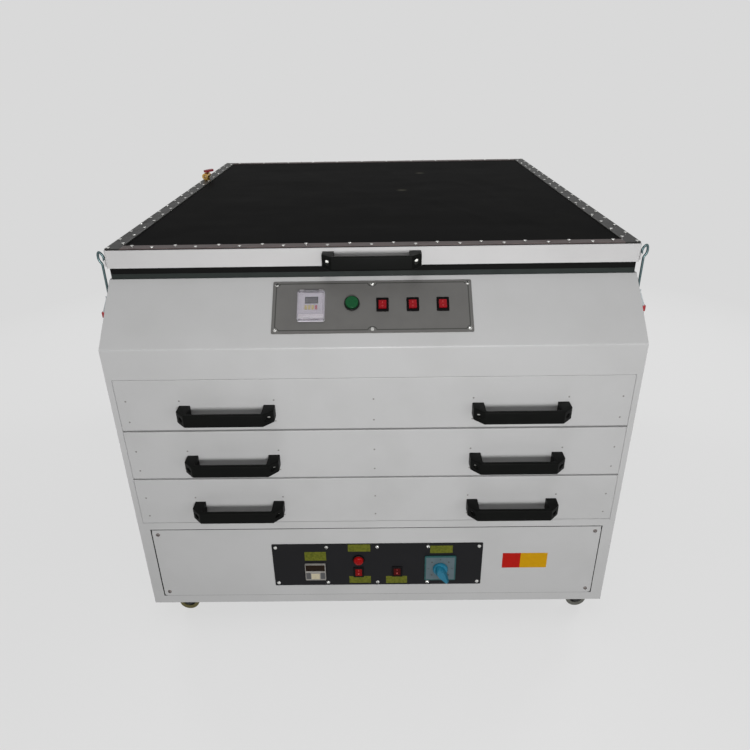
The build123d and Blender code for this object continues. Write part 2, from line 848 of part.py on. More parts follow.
panel_screw = screw(panel_screw_head, panel_screw_head_height, panel_screw_shank, panel_screw_length)
with BuildPart() as panel_screws:
    for plane, points in (
        (console_face, console_screws),
        (plate_face, plate_screws),
        (access_face, access_screws),
    ):
        with Locations([on_plane(plane, x, up) for x, up in points]):
            add(panel_screw)
panel_screws.part.label = "panel_screws"
export_step(panel_screws.part, "parts/panel_screws.step")

# ======================================== Console devices ===========================================
timer_plane = on_plane(console_face, timer_x, timer_row)
key_row = -timer_key_drop
key_offsets = [timer_key_pitch * (n - (timer_key_count - 1) / 2) for n in range(timer_key_count)]
hood_plane = on_plane(console_face, timer_x, hood_row)
hood_side = Plane(origin=hood_plane.origin, x_dir=hood_plane.y_dir, z_dir=hood_plane.x_dir)
hood_axis_up = hood_height / 2 + hood_lug_radius + soft_gap
with BuildPart() as exposure_timer:
    with BuildSketch(timer_plane):
        RectangleRounded(timer_size, timer_size, timer_corner)
    extrude(amount=timer_bezel)
    with BuildSketch(timer_plane):
        Rectangle(timer_body, timer_body)
    extrude(amount=-timer_depth)
    with BuildSketch(timer_plane.offset(timer_bezel)):
        with Locations((0, timer_display_up)):
            Rectangle(timer_display_width, timer_display_height)
    extrude(amount=-timer_display_depth, mode=Mode.SUBTRACT)
    with BuildSketch(timer_plane.offset(timer_bezel)):
        with Locations([(x, key_row) for x in key_offsets]):
            Rectangle(timer_key_size + 2 * rocker_play, timer_key_height + 2 * rocker_play)
    extrude(amount=-timer_key_pocket, mode=Mode.SUBTRACT)
    # The hood's own frame lies round the bezel, with two hinge lugs and their pin.
    with BuildSketch(hood_plane):
        RectangleRounded(hood_width, hood_height, hood_corner)
        with Locations((0, timer_row - hood_row)):
            Rectangle(timer_size + 2 * soft_gap, timer_size + 2 * soft_gap, mode=Mode.SUBTRACT)
        with Locations((-hood_lug_x, hood_axis_up), (hood_lug_x, hood_axis_up)):
            Rectangle(hood_lug_length, 2 * (hood_lug_radius + 2 * soft_gap))
    extrude(amount=hood_frame)
    with BuildSketch(hood_plane):
        with Locations((-hood_lug_x, hood_axis_up), (hood_lug_x, hood_axis_up)):
            Rectangle(hood_lug_length, 2 * hood_lug_radius)
    extrude(amount=hood_axis_out)
    for low in (-hood_lug_x - hood_lug_length / 2, hood_lug_x - hood_lug_length / 2):
        with BuildSketch(hood_side.offset(low)):
            with Locations((hood_axis_up, hood_axis_out)):
                Circle(hood_lug_radius)
        extrude(amount=hood_lug_length)
    with BuildSketch(hood_side.offset(-hood_lug_x)):
        with Locations((hood_axis_up, hood_axis_out)):
            Circle(hood_pin_radius)
    extrude(amount=2 * hood_lug_x)
exposure_timer.part.label = "exposure_timer"
export_step(exposure_timer.part, "parts/exposure_timer.step")

with BuildPart() as timer_keys:
    with BuildSketch(timer_plane.offset(timer_bezel - timer_key_pocket + timer_key_travel + soft_gap)):
        with Locations([(x, key_row) for x in key_offsets]):
            RectangleRounded(timer_key_size, timer_key_height, timer_key_corner)
    extrude(amount=timer_key_pocket)
timer_keys.part.label = "timer_keys"
export_step(timer_keys.part, "parts/timer_keys.step")

hood_low = hood_frame + soft_gap
with BuildPart() as timer_hood:
    with BuildSketch(hood_plane.offset(hood_low)):
        RectangleRounded(hood_width, hood_height, hood_corner)
    extrude(amount=hood_depth - hood_low)
    with BuildSketch(hood_plane.offset(hood_low)):
        RectangleRounded(hood_width - 2 * hood_wall, hood_height - 2 * hood_wall, hood_inner_corner)
    extrude(amount=hood_depth - hood_wall - hood_low, mode=Mode.SUBTRACT)
    with BuildSketch(hood_side.offset(-hood_knuckle_length / 2)):
        with Locations((hood_axis_up, hood_axis_out)):
            Circle(hood_lug_radius)
        with Locations((hood_height / 2 - hood_wall / 2, hood_low)):
            Rectangle(
                hood_lug_radius + hood_wall / 2 + soft_gap,
                hood_axis_out + hood_lug_radius - hood_low,
                align=(Align.MIN, Align.MIN),
            )
    extrude(amount=hood_knuckle_length)
    with BuildSketch(hood_side.offset(-hood_knuckle_length / 2)):
        with Locations((hood_axis_up, hood_axis_out)):
            Circle(hood_pin_radius + running_clearance)
    extrude(amount=hood_knuckle_length, mode=Mode.SUBTRACT)
timer_hood.part.label = "timer_hood"
export_step(timer_hood.part, "parts/timer_hood.step")


def rocker_places():
    """Name and local plane of each rocker switch."""
    upper = [on_plane(console_face, x, device_row) for x in rocker_x]
    lower = [on_plane(plate_face, x, up) for x, up in lower_rockers]
    names = ("vacuum_rocker", "exposure_rocker", "view_light_rocker", "heater_rocker", "fan_rocker")
    return list(zip(names, upper + lower))


rocker_pocket_width = 2 * (rocker_half_width + rocker_play)
rocker_pocket_height = 2 * (rocker_half_height + rocker_end_play)
with BuildPart() as rocker_housing:
    with BuildSketch(Plane.XY):
        RectangleRounded(rocker_bezel_width, rocker_bezel_height, rocker_bezel_corner)
    extrude(amount=rocker_bezel_depth)
    chamfer(rocker_housing.edges().group_by(Axis.Z)[-1], rocker_bezel_chamfer)
    with BuildSketch(Plane.XY):
        Rectangle(rocker_body_width, rocker_body_height)
    extrude(amount=-rocker_body_depth)
    with BuildSketch(Plane.XY.offset(rocker_bezel_depth)):
        Rectangle(rocker_pocket_width, rocker_pocket_height)
    extrude(amount=-rocker_pocket_depth, mode=Mode.SUBTRACT)
    journal_reach = rocker_bezel_width / 2 - rocker_body_wall
    with BuildSketch(Plane.YZ.offset(-journal_reach)):
        with Locations((0, -rocker_pivot_depth)):
            Circle(rocker_journal + running_clearance)
    extrude(amount=2 * journal_reach, mode=Mode.SUBTRACT)

with BuildPart() as rocker_blank:
    with BuildSketch(Plane.YZ.offset(-rocker_half_width)):
        with BuildLine():
            Polyline(
                (-rocker_half_height, -rocker_under),
                (-rocker_half_height, rocker_end_lift),
                (0, rocker_end_lift - rocker_dish),
                (rocker_half_height, rocker_end_lift),
                (rocker_half_height, -rocker_under),
                close=True,
            )
        make_face()
    extrude(amount=2 * rocker_half_width)
    with BuildSketch(Plane.YZ.offset(-journal_reach + running_clearance)):
        with Locations((0, -rocker_pivot_depth)):
            Circle(rocker_journal)
    extrude(amount=2 * (journal_reach - running_clearance))
rocker_axis = Axis((0, 0, -rocker_pivot_depth), (1, 0, 0))
rocker_at_rest = rocker_blank.part.rotate(rocker_axis, -rocker_tilt)

for rocker_name, rocker_plane in rocker_places():
    with BuildPart() as rocker:
        with Locations(rocker_plane):
            add(rocker_at_rest)
    rocker.part.label = rocker_name
    export_step(rocker.part, f"parts/{rocker_name}.step")

# The start button's ring, with a floor under the cap and a guide bore for its stem.
button_plane = on_plane(console_face, button_x, button_row)
cap_low = button_floor + button_travel + soft_gap
indicator_plane = on_plane(plate_face, indicator_x, indicator_z)
isolator_face = on_plane(plate_face, isolator_x, isolator_z)
with BuildPart() as panel_bezels:
    with Locations([place for _, place in rocker_places()]):
        add(rocker_housing.part)
    with BuildSketch(button_plane):
        Circle(button_ring_radius)
    extrude(amount=button_ring_height)
    with BuildSketch(button_plane.offset(button_floor)):
        Circle(button_cap_radius + soft_gap)
    extrude(amount=button_ring_height, mode=Mode.SUBTRACT)
    with BuildSketch(button_plane):
        Circle(button_sleeve)
    extrude(amount=-button_sleeve_depth)
    with BuildSketch(button_plane.offset(button_floor)):
        Circle(button_stem + running_clearance)
    extrude(amount=-(button_sleeve_depth - button_floor), mode=Mode.SUBTRACT)
    # Pilot lamp: a domed lens in a round sleeve.
    with BuildSketch(indicator_plane):
        Circle(lamp_bezel_radius)
    extrude(amount=lamp_bezel_depth)
    with BuildSketch(indicator_plane.offset(lamp_bezel_depth)):
        Circle(lamp_lens_radius)
    extrude(amount=lamp_lens_height, taper=lamp_lens_taper)
    with BuildSketch(indicator_plane):
        Circle(lamp_sleeve)
    extrude(amount=-lamp_sleeve_depth)
    # Main isolator: square face plate, body behind and the switch spindle.
    with BuildSketch(isolator_face):
        RectangleRounded(isolator_plate, isolator_plate, isolator_plate_corner)
    extrude(amount=isolator_plate_depth)
    with BuildSketch(isolator_face):
        Rectangle(isolator_body, isolator_body)
    extrude(amount=-isolator_depth)
    with BuildSketch(isolator_face):
        Circle(isolator_shaft)
    extrude(amount=isolator_plate_depth + knob_disc)
panel_bezels.part.label = "panel_bezels"
export_step(panel_bezels.part, "parts/panel_bezels.step")

with BuildPart() as start_button:
    with BuildSketch(button_plane.offset(cap_low)):
        Circle(button_cap_radius)
    extrude(amount=button_cap_height - cap_low)
    outward = Axis(slope_plane.origin, slope_plane.z_dir)
    fillet(start_button.edges().sort_by(outward)[-1], button_cap_rounding)
    with BuildSketch(button_plane.offset(cap_low)):
        Circle(button_stem)
    extrude(amount=-(cap_low + button_stem_reach))
start_button.part.label = "start_button"
export_step(start_button.part, "parts/start_button.step")

controller_plane = on_plane(plate_face, controller_x, controller_z)
with BuildPart() as temperature_controller:
    with BuildSketch(controller_plane):
        RectangleRounded(controller_size, controller_size, controller_corner)
    extrude(amount=controller_face)
    with BuildSketch(controller_plane.offset(controller_face)):
        with Locations((0, controller_window_up)):
            Rectangle(controller_window_width, controller_window_height)
    extrude(amount=-controller_window_depth, mode=Mode.SUBTRACT)
    with BuildSketch(controller_plane.offset(controller_face)):
        with Locations((0, -controller_block_down)):
            Rectangle(controller_block_width, controller_block_height)
    extrude(amount=controller_block_depth)
    with BuildSketch(controller_plane):
        Rectangle(timer_body, timer_body)
    extrude(amount=-controller_depth)
temperature_controller.part.label = "temperature_controller"
export_step(temperature_controller.part, "parts/temperature_controller.step")

with BuildPart() as isolator_knob:
    knob_seat = isolator_face.offset(isolator_plate_depth + soft_gap)
    with BuildSketch(knob_seat):
        Circle(knob_radius)
    extrude(amount=knob_disc)
    with BuildSketch(knob_seat):
        with Locations(Location((0, 0), knob_angle)):
            with Locations((knob_grip_length / 2 - knob_grip_tail, 0)):
                SlotOverall(knob_grip_length, knob_grip_width)
    extrude(amount=knob_disc + knob_grip_height)
    with BuildSketch(knob_seat):
        Circle(isolator_shaft + running_clearance)
    extrude(amount=knob_disc, mode=Mode.SUBTRACT)
isolator_knob.part.label = "isolator_knob"
export_step(isolator_knob.part, "parts/isolator_knob.step")

# ======================================== Handles and drawers =======================================
half_handle = handle_length / 2
screw_x = handle_screw_spacing / 2
with BuildPart() as bridge_handle:
    with BuildSketch(Plane.XY.offset(-handle_height / 2)):
        with BuildLine():
            Polyline(
                (-half_handle, 0),
                (-half_handle, -handle_shoulder),
                (-half_handle + handle_inset, -handle_reach),
                (half_handle - handle_inset, -handle_reach),
                (half_handle, -handle_shoulder),
                (half_handle, 0),
                (half_handle - handle_foot, 0),
                (half_handle - handle_foot, -handle_reach + handle_bar),
                (-half_handle + handle_foot, -handle_reach + handle_bar),
                (-half_handle + handle_foot, 0),
                close=True,
            )
        make_face()
    extrude(amount=handle_height)
    upright_edges = bridge_handle.edges().filter_by(Axis.Z)
    fillet(upright_edges.filter_by(lambda e: e.center().Y < -handle_corner / 2), handle_corner)
    front_edges = bridge_handle.edges().group_by(Axis.Y)[0]
    fillet(front_edges.filter_by(Axis.X), handle_bar_rounding)
    with BuildSketch(Plane.XZ.offset(handle_screw_seat)):
        with Locations((-screw_x, 0), (screw_x, 0)):
            Circle(handle_screw_head_radius + screw_clearance)
    extrude(amount=handle_reach, mode=Mode.SUBTRACT)
    with BuildSketch(Plane.XZ):
        with Locations((-screw_x, 0), (screw_x, 0)):
            Circle(handle_screw_radius + screw_clearance)
    extrude(amount=handle_reach, mode=Mode.SUBTRACT)

cap_screw = screw(
    handle_screw_head_radius,
    handle_screw_head_height,
    handle_screw_radius,
    handle_screw_seat + handle_screw_tail,
)
seat_plane = Plane(origin=(0, -handle_screw_seat - running_clearance, 0), x_dir=(1, 0, 0), z_dir=(0, -1, 0))
with BuildPart() as handle_with_screws:
    add(bridge_handle.part)
    with Locations(on_plane(seat_plane, -screw_x, 0), on_plane(seat_plane, screw_x, 0)):
        add(cap_screw)

drawer_half = half_width - side_return - drawer_side_gap
tray_half = post_x - rail_reach - tray_side_clearance
tray_front = front_y + drawer_front_depth
tray_back = tray_front + tray_depth
runner_outer = post_x - rail_wall - runner_clearance
runner_height = rail_height - 2 * rail_wall - 2 * runner_clearance
handle_centres = (-drawer_handle_spacing / 2, drawer_handle_spacing / 2)

for row, top in enumerate(drawer_tops, start=1):
    bottom = top - drawer_front_height
    handle_z = top - drawer_handle_drop
    name = f"drawer_{row}_front"
    with BuildPart() as drawer_front:
        block((-drawer_half, front_y, bottom), (drawer_half, tray_front, top))
        fillet(drawer_front.edges().group_by(Axis.Y)[0], sheet)
        block(
            (-drawer_half + sheet, front_y + sheet, bottom + sheet),
            (drawer_half - sheet, tray_front, top - sheet),
            Mode.SUBTRACT,
        )
        # Folded returns at both ends, where the tray is screwed on.
        for side in (-1, 1):
            near, far = sorted((side * (tray_half - front_return), side * (drawer_half - sheet)))
            block((near, tray_front - sheet, bottom), (far, tray_front, top))
        with BuildSketch(Plane.XZ.offset(-front_y)):
            for centre in handle_centres:
                with Locations((centre - screw_x, handle_z), (centre + screw_x, handle_z)):
                    Circle(handle_screw_radius + screw_clearance)
        extrude(amount=-sheet, mode=Mode.SUBTRACT)
    drawer_front.part.label = name
    export_step(drawer_front.part, f"parts/{name}.step")

    name = f"drawer_{row}_tray"
    tray_top = top - tray_drop
    tray_bottom = tray_top - tray_height
    runner_z = tray_top - tray_height / 2
    with BuildPart() as drawer_tray:
        block((-tray_half, tray_front, tray_bottom), (tray_half, tray_back, tray_top))
        block(
            (-tray_half + sheet, tray_front + sheet, tray_bottom),
            (tray_half - sheet, tray_back - sheet, tray_top),
            Mode.SUBTRACT,
        )
        # Cross bars carry the screens and let the warm air through.
        bar_pitch = (tray_depth - tray_tube) / (tray_cross_bars - 1)
        for n in range(tray_cross_bars):
            near = tray_front + bar_pitch * n
            block(
                (-tray_half, near, tray_bottom),
                (tray_half, near + tray_tube, tray_bottom + tray_tube / 2),
            )
        for side in (-1, 1):
            near, far = sorted((side * (tray_half - sheet), side * runner_outer))
            block(
                (near, tray_front, runner_z - runner_height / 2),
                (far, tray_back, runner_z + runner_height / 2),
            )
    drawer_tray.part.label = name
    export_step(drawer_tray.part, f"parts/{name}.step")

    name = f"drawer_{row}_handles"
    with BuildPart() as drawer_handles:
        with Locations([(centre, front_y, handle_z) for centre in handle_centres]):
            add(handle_with_screws.part)
    drawer_handles.part.label = name
    export_step(drawer_handles.part, f"parts/{name}.step")

# ======================================== Vacuum lid ================================================
hinge_y = back_y + hinge_offset
hinge_z = lid_bottom - hinge_drop
hinge_x = (-hinge_spacing / 2, hinge_spacing / 2)
lid_handle_z = lid_bottom + lid_handle_rise
catch_y = front_y + latch_y


def spaced(length, pitch, shift):
    """Places along a length, centred, at about the pitch; shift moves them by half a pitch."""
    count = round(length / pitch)
    step = length / count
    return [step * (n + 0.5 * shift) - length / 2 for n in range(count + (1 - shift))]


# Screws zigzag along the clamp bars: an outer row, and an inner row half a pitch along.
bar_outer_x = lid_half - clamp_bar_margin
bar_front_y = lid_front_y + clamp_bar_margin
bar_back_y = back_y - clamp_bar_margin
bar_mid_y = (bar_front_y + bar_back_y) / 2
outer_row_x = bar_outer_x - clamp_screw_row
inner_row_x = bar_outer_x - clamp_bar_side + clamp_screw_row
outer_rows_y = (bar_front_y + clamp_screw_row, bar_back_y - clamp_screw_row)
inner_rows_y = (
    bar_front_y + clamp_bar_end - clamp_screw_row,
    bar_back_y - clamp_bar_end + clamp_screw_row,
)
side_run = outer_rows_y[1] - outer_rows_y[0]
clamp_screw_points = []
for side in (-1, 1):
    for along in spaced(side_run, clamp_side_screw_pitch, 0):
        clamp_screw_points.append((side * outer_row_x, bar_mid_y + along))
    for along in spaced(side_run, clamp_side_screw_pitch, 1):
        clamp_screw_points.append((side * inner_row_x, bar_mid_y + along))
for outer_y, inner_y in zip(outer_rows_y, inner_rows_y):
    for along in spaced(2 * outer_row_x, clamp_screw_pitch, 0)[1:-1]:
        clamp_screw_points.append((along, outer_y))
    for along in spaced(2 * outer_row_x, clamp_screw_pitch, 1):
        clamp_screw_points.append((along, inner_y))

valve_point = (valve_x, front_y + valve_y)
clear_of_valve = valve_nipple + clamp_screw_head + valve_body_radius
clamp_screw_points = [
    point for point in clamp_screw_points if math.dist(point, valve_point) > clear_of_valve
]

with BuildPart() as lid_frame:
    with BuildSketch(Plane.XY.offset(lid_bottom)):
        with Locations((0, lid_mid_y)):
            RectangleRounded(lid_width, lid_depth, lid_corner)
            Rectangle(lid_width - 2 * lid_side_tube, lid_depth - 2 * lid_end_tube, mode=Mode.SUBTRACT)
    extrude(amount=lid_tube_height)
    with BuildSketch(Plane.XY.offset(lid_bottom + tube_wall)):
        with Locations((0, lid_mid_y)):
            Rectangle(lid_width - 2 * tube_wall, lid_depth - 2 * tube_wall)
            Rectangle(
                lid_width - 2 * lid_side_tube + 2 * tube_wall,
                lid_depth - 2 * lid_end_tube + 2 * tube_wall,
                mode=Mode.SUBTRACT,
            )
    extrude(amount=lid_tube_height - 2 * tube_wall, mode=Mode.SUBTRACT)
    # Catch ears for the side latches.
    for side in (-1, 1):
        near, far = sorted((side * lid_half, side * (lid_half + catch_reach)))
        low = lid_bottom + catch_rise
        block(
            (near, catch_y - catch_width / 2, low),
            (far, catch_y + catch_width / 2, low + catch_height),
        )
    with BuildSketch(Plane.XY.offset(lid_top)):
        with Locations(clamp_screw_points):
            Circle(clamp_screw_shank + screw_clearance)
        with Locations(valve_point):
            Circle(valve_nipple + screw_clearance)
    extrude(amount=-tube_wall, mode=Mode.SUBTRACT)
    with BuildSketch(Plane.XZ.offset(-lid_front_y)):
        with Locations((-screw_x, lid_handle_z), (screw_x, lid_handle_z)):
            Circle(handle_screw_radius + screw_clearance)
    extrude(amount=-tube_wall, mode=Mode.SUBTRACT)
lid_frame.part.label = "lid_frame"
export_step(lid_frame.part, "parts/lid_frame.step")

with BuildPart() as rubber_blanket:
    with BuildSketch(Plane.XY.offset(lid_top)):
        with Locations((0, lid_mid_y)):
            Rectangle(lid_width - 2 * blanket_margin, lid_depth - 2 * blanket_margin)
        with Locations(clamp_screw_points):
            Circle(clamp_screw_shank + screw_clearance, mode=Mode.SUBTRACT)
        with Locations(valve_point):
            Circle(valve_nipple + screw_clearance, mode=Mode.SUBTRACT)
    extrude(amount=blanket_thickness)
rubber_blanket.part.label = "rubber_blanket"
export_step(rubber_blanket.part, "parts/rubber_blanket.step")

with BuildPart() as clamp_bars:
    for side in (-1, 1):
        near, far = sorted((side * (bar_outer_x - clamp_bar_side), side * bar_outer_x))
        block((near, bar_front_y, blanket_top), (far, bar_back_y, bar_top))
    bar_inner_x = bar_outer_x - clamp_bar_side - soft_gap
    for low, high in (
        (bar_front_y, bar_front_y + clamp_bar_end),
        (bar_back_y - clamp_bar_end, bar_back_y),
    ):
        block((-bar_inner_x, low, blanket_top), (bar_inner_x, high, bar_top))
    with BuildSketch(Plane.XY.offset(bar_top)):
        with Locations(clamp_screw_points):
            Circle(clamp_screw_shank + screw_clearance)
        with Locations(valve_point):
            Circle(valve_nipple + screw_clearance)
    extrude(amount=-clamp_bar_thickness, mode=Mode.SUBTRACT)
clamp_bars.part.label = "clamp_bars"
export_step(clamp_bars.part, "parts/clamp_bars.step")

clamp_screw = screw(clamp_screw_head, clamp_screw_head_height, clamp_screw_shank, clamp_screw_length)
with BuildPart() as clamp_screws:
    with Locations([(x, y, bar_top) for x, y in clamp_screw_points]):
        add(clamp_screw)
clamp_screws.part.label = "clamp_screws"
export_step(clamp_screws.part, "parts/clamp_screws.step")

seal_low = glass_seat + glass_thickness + soft_gap
with BuildPart() as lid_seal:
    with BuildSketch(Plane.XY.offset(seal_low)):
        with Locations((0, lid_mid_y)):
            RectangleRounded(lid_width - 2 * seal_inset, lid_depth - 2 * seal_inset, seal_width)
            seal_inner = 2 * (seal_inset + seal_width)
            RectangleRounded(lid_width - seal_inner, lid_depth - seal_inner, rim_wall, mode=Mode.SUBTRACT)
    extrude(amount=lid_bottom - seal_low)
    # A flange of the seal lies over the rim that frames the glass.
    flange_low = glass_seat + rim_height + seal_flange_gap
    with BuildSketch(Plane.XY.offset(flange_low)):
        with Locations((0, lid_mid_y)):
            flange_outer = 2 * seal_flange_inset
            RectangleRounded(lid_width - flange_outer, lid_depth - flange_outer, rim_wall)
            RectangleRounded(lid_width - seal_inner, lid_depth - seal_inner, rim_wall, mode=Mode.SUBTRACT)
    extrude(amount=lid_bottom - flange_low)
lid_seal.part.label = "lid_seal"
export_step(lid_seal.part, "parts/lid_seal.step")

with BuildPart() as lid_handle:
    with Locations((0, lid_front_y, lid_handle_z)):
        add(handle_with_screws.part)
lid_handle.part.label = "lid_handle"
export_step(lid_handle.part, "parts/lid_handle.step")

# Hinges: the cabinet leaf carries two knuckles and the pin, the lid leaf the knuckle between them.
leaf_width = 3 * knuckle_length + 2 * knuckle_gap
outer_knuckle = knuckle_length + knuckle_gap
with BuildPart() as lid_hinge_leaves:
    for x in hinge_x:
        block(
            (x - leaf_width / 2, back_y, lid_bottom + tube_wall),
            (x + leaf_width / 2, back_y + leaf_thickness, lid_top - tube_wall),
        )
        block(
            (x - knuckle_length / 2, back_y + hinge_offset - knuckle_radius, hinge_z),
            (x + knuckle_length / 2, back_y + hinge_offset, lid_bottom + tube_wall + knuckle_radius),
        )
        with BuildSketch(Plane.YZ.offset(x - knuckle_length / 2)):
            with Locations((hinge_y, hinge_z)):
                Circle(knuckle_radius)
        extrude(amount=knuckle_length)
        with BuildSketch(Plane.YZ.offset(x - knuckle_length / 2)):
            with Locations((hinge_y, hinge_z)):
                Circle(hinge_pin_radius + running_clearance)
        extrude(amount=knuckle_length, mode=Mode.SUBTRACT)
lid_hinge_leaves.part.label = "lid_hinge_leaves"
export_step(lid_hinge_leaves.part, "parts/lid_hinge_leaves.step")

latch_pivot_x = half_width + latch_pivot_out
latch_pivot = glass_seat - latch_pivot_drop
link_x = latch_pivot_x + latch_link_out
link_z = latch_pivot - latch_link_drop
ear_inner = cheek_outer + ear_clearance
with BuildPart() as cabinet_lid_brackets:
    for x in hinge_x:
        block(
            (x - leaf_width / 2, back_y, hinge_z - knuckle_radius - leaf_height),
            (x + leaf_width / 2, back_y + leaf_thickness, hinge_z - knuckle_radius - knuckle_gap),
        )
        for offset_x in (-outer_knuckle, outer_knuckle):
            near = x + offset_x - knuckle_length / 2
            block(
                (near, back_y + hinge_offset - knuckle_radius, hinge_z - knuckle_radius * 2),
                (near + knuckle_length, back_y + hinge_offset, hinge_z),
            )
            with BuildSketch(Plane.YZ.offset(near)):
                with Locations((hinge_y, hinge_z)):
                    Circle(knuckle_radius)
            extrude(amount=knuckle_length)
        with BuildSketch(Plane.YZ.offset(x - leaf_width / 2)):
            with Locations((hinge_y, hinge_z)):
                Circle(hinge_pin_radius)
        extrude(amount=leaf_width)
    # Latch bases with two ears, each with a stub pin for the lever.
    for side in (-1, 1):
        near, far = sorted((side * half_width, side * (half_width + latch_plate)))
        block(
            (near, catch_y - latch_plate_width / 2, glass_seat - latch_plate_bottom),
            (far, catch_y + latch_plate_width / 2, glass_seat - latch_plate_top),
        )
        near, far = sorted((side * half_width, side * (latch_pivot_x + lever_boss)))
        for ear in (-ear_inner - ear_thickness, ear_inner):
            block(
                (near, catch_y + ear, latch_pivot - lever_boss),
                (far, catch_y + ear + ear_thickness, latch_pivot + lever_boss),
            )
        for start in (-cheek_outer + cheek_thickness, ear_inner + ear_thickness):
            with BuildSketch(Plane.XZ.offset(-(catch_y + start))):
                with Locations((side * latch_pivot_x, latch_pivot)):
                    Circle(latch_pin)
            extrude(amount=ear_inner + ear_thickness - cheek_outer + cheek_thickness)
cabinet_lid_brackets.part.label = "cabinet_lid_brackets"
export_step(cabinet_lid_brackets.part, "parts/cabinet_lid_brackets.step")

# ======================================== Latches ===================================================
for side, prefix in ((-1, "left"), (1, "right")):
    pivot = (side * latch_pivot_x, latch_pivot)
    link = (side * link_x, link_z)
    foot = (side * (latch_pivot_x + lever_foot_out), glass_seat - lever_foot_drop)
    plate_top = (side * (link_x + lever_boss), link_z - lever_boss - lever_plate)
    name = f"{prefix}_latch_lever"
    with BuildPart() as latch_lever:
        for low in (-cheek_outer, cheek_outer - cheek_thickness):
            with BuildSketch(Plane.XZ.offset(-(catch_y + low + cheek_thickness))):
                with Locations(pivot, link):
                    Circle(lever_boss)
                with Locations(foot):
                    Circle(lever_plate)
                make_hull()
            extrude(amount=cheek_thickness)
        with BuildSketch(Plane.XZ.offset(-(catch_y + cheek_outer))):
            with Locations(plate_top, foot):
                Circle(lever_plate / 2)
            make_hull()
        extrude(amount=2 * cheek_outer)
        with BuildSketch(Plane.XZ.offset(-(catch_y + cheek_outer))):
            with Locations(link):
                Circle(latch_pin)
        extrude(amount=2 * cheek_outer)
        near, far = sorted((foot[0] - grip_thickness / 2, foot[0] + grip_thickness / 2))
        block(
            (near, catch_y - cheek_outer, foot[1] - grip_height + lever_plate),
            (far, catch_y + cheek_outer, foot[1] + lever_plate),
        )
        with BuildSketch(Plane.XZ.offset(-(catch_y + cheek_outer))):
            with Locations(pivot):
                Circle(latch_pin + running_clearance)
        extrude(amount=2 * cheek_outer, mode=Mode.SUBTRACT)
    latch_lever.part.label = name
    export_step(latch_lever.part, f"parts/{name}.step")

    name = f"{prefix}_latch_hook"
    eye_half = cheek_outer - cheek_thickness - soft_gap
    top_z = link_z + hook_rise
    bend_path = [(link[0], catch_y, top_z)]
    for out, rise in hook_bend_shape:
        bend_path.append((link[0] + side * hook_bulge * out, catch_y, top_z + hook_bend * rise))
    tip_x = link[0] - side * hook_tip_in
    bend_path.append((tip_x, catch_y, top_z + hook_bend * hook_tip_rise))
    bend_path.append((tip_x, catch_y, top_z + hook_tip))
    with BuildPart() as latch_hook:
        with BuildSketch(Plane.XZ.offset(-(catch_y + eye_half))):
            with Locations(link):
                Circle(hook_eye)
        extrude(amount=2 * eye_half)
        with BuildLine() as wire:
            rod = Line((link[0], catch_y, link_z), bend_path[0])
            Spline(*bend_path, tangents=((0, 0, 1), (0, 0, -1)))
        with BuildSketch(Plane(origin=rod @ 0, z_dir=(0, 0, 1))):
            Circle(hook_wire)
        sweep(path=wire.line)
        with BuildSketch(Plane.XZ.offset(-(catch_y + eye_half))):
            with Locations(link):
                Circle(latch_pin + running_clearance)
        extrude(amount=2 * eye_half, mode=Mode.SUBTRACT)
    latch_hook.part.label = name
    export_step(latch_hook.part, f"parts/{name}.step")

# ======================================== Air valve =================================================
valve_axis_z = bar_top + valve_axis_height
with BuildPart() as valve_body:
    with BuildSketch(Plane.XY.offset(lid_top - tube_wall)):
        with Locations(valve_point):
            Circle(valve_nipple)
    extrude(amount=valve_axis_z - lid_top + tube_wall)
    with BuildSketch(Plane.XY.offset(bar_top)):
        with Locations(valve_point):
            RegularPolygon(valve_body_radius, nut_sides)
    extrude(amount=valve_nut_height)
    with BuildSketch(Plane.XZ.offset(-(valve_point[1] + valve_body_length / 2))):
        with Locations((valve_x, valve_axis_z)):
            Circle(valve_body_radius)
    extrude(amount=valve_body_length)
    with BuildSketch(Plane.XZ.offset(-(valve_point[1] + valve_body_length / 2 + soft_gap))):
        with Locations((valve_x, valve_axis_z)):
            Circle(valve_nipple)
    extrude(amount=valve_body_length + 2 * soft_gap, mode=Mode.SUBTRACT)
    with BuildSketch(Plane.XY.offset(valve_axis_z + valve_nipple + valve_wall)):
        with Locations(valve_point):
            Circle(valve_stem)
    extrude(amount=valve_body_radius - valve_nipple - valve_wall + valve_stem_height)
valve_body.part.label = "valve_body"
export_step(valve_body.part, "parts/valve_body.step")

lever_low = valve_axis_z + valve_body_radius + valve_wall + soft_gap
with BuildPart() as valve_lever:
    with BuildSketch(Plane.XY.offset(lever_low)):
        with Locations(Location(valve_point, valve_lever_angle)):
            with Locations((valve_lever_length / 2 - valve_lever_width / 2, 0)):
                SlotOverall(valve_lever_length, valve_lever_width)
    extrude(amount=valve_lever_thickness)
    with BuildSketch(Plane.XY.offset(lever_low)):
        with Locations(valve_point):
            Circle(valve_stem + running_clearance)
    extrude(amount=valve_lever_thickness, mode=Mode.SUBTRACT)
valve_lever.part.label = "valve_lever"
export_step(valve_lever.part, "parts/valve_lever.step")

# ======================================== Casters ===================================================
front_caster_y = front_y + caster_inset
rear_caster_y = back_y - caster_inset
race_low = base_z - caster_plate_thickness - race_height
crown_top = race_low - crown_gap
crown_low = crown_top - crown_height
leg_inner = wheel_width / 2 + fork_gap
fork_span = 2 * (leg_inner + fork_leg)


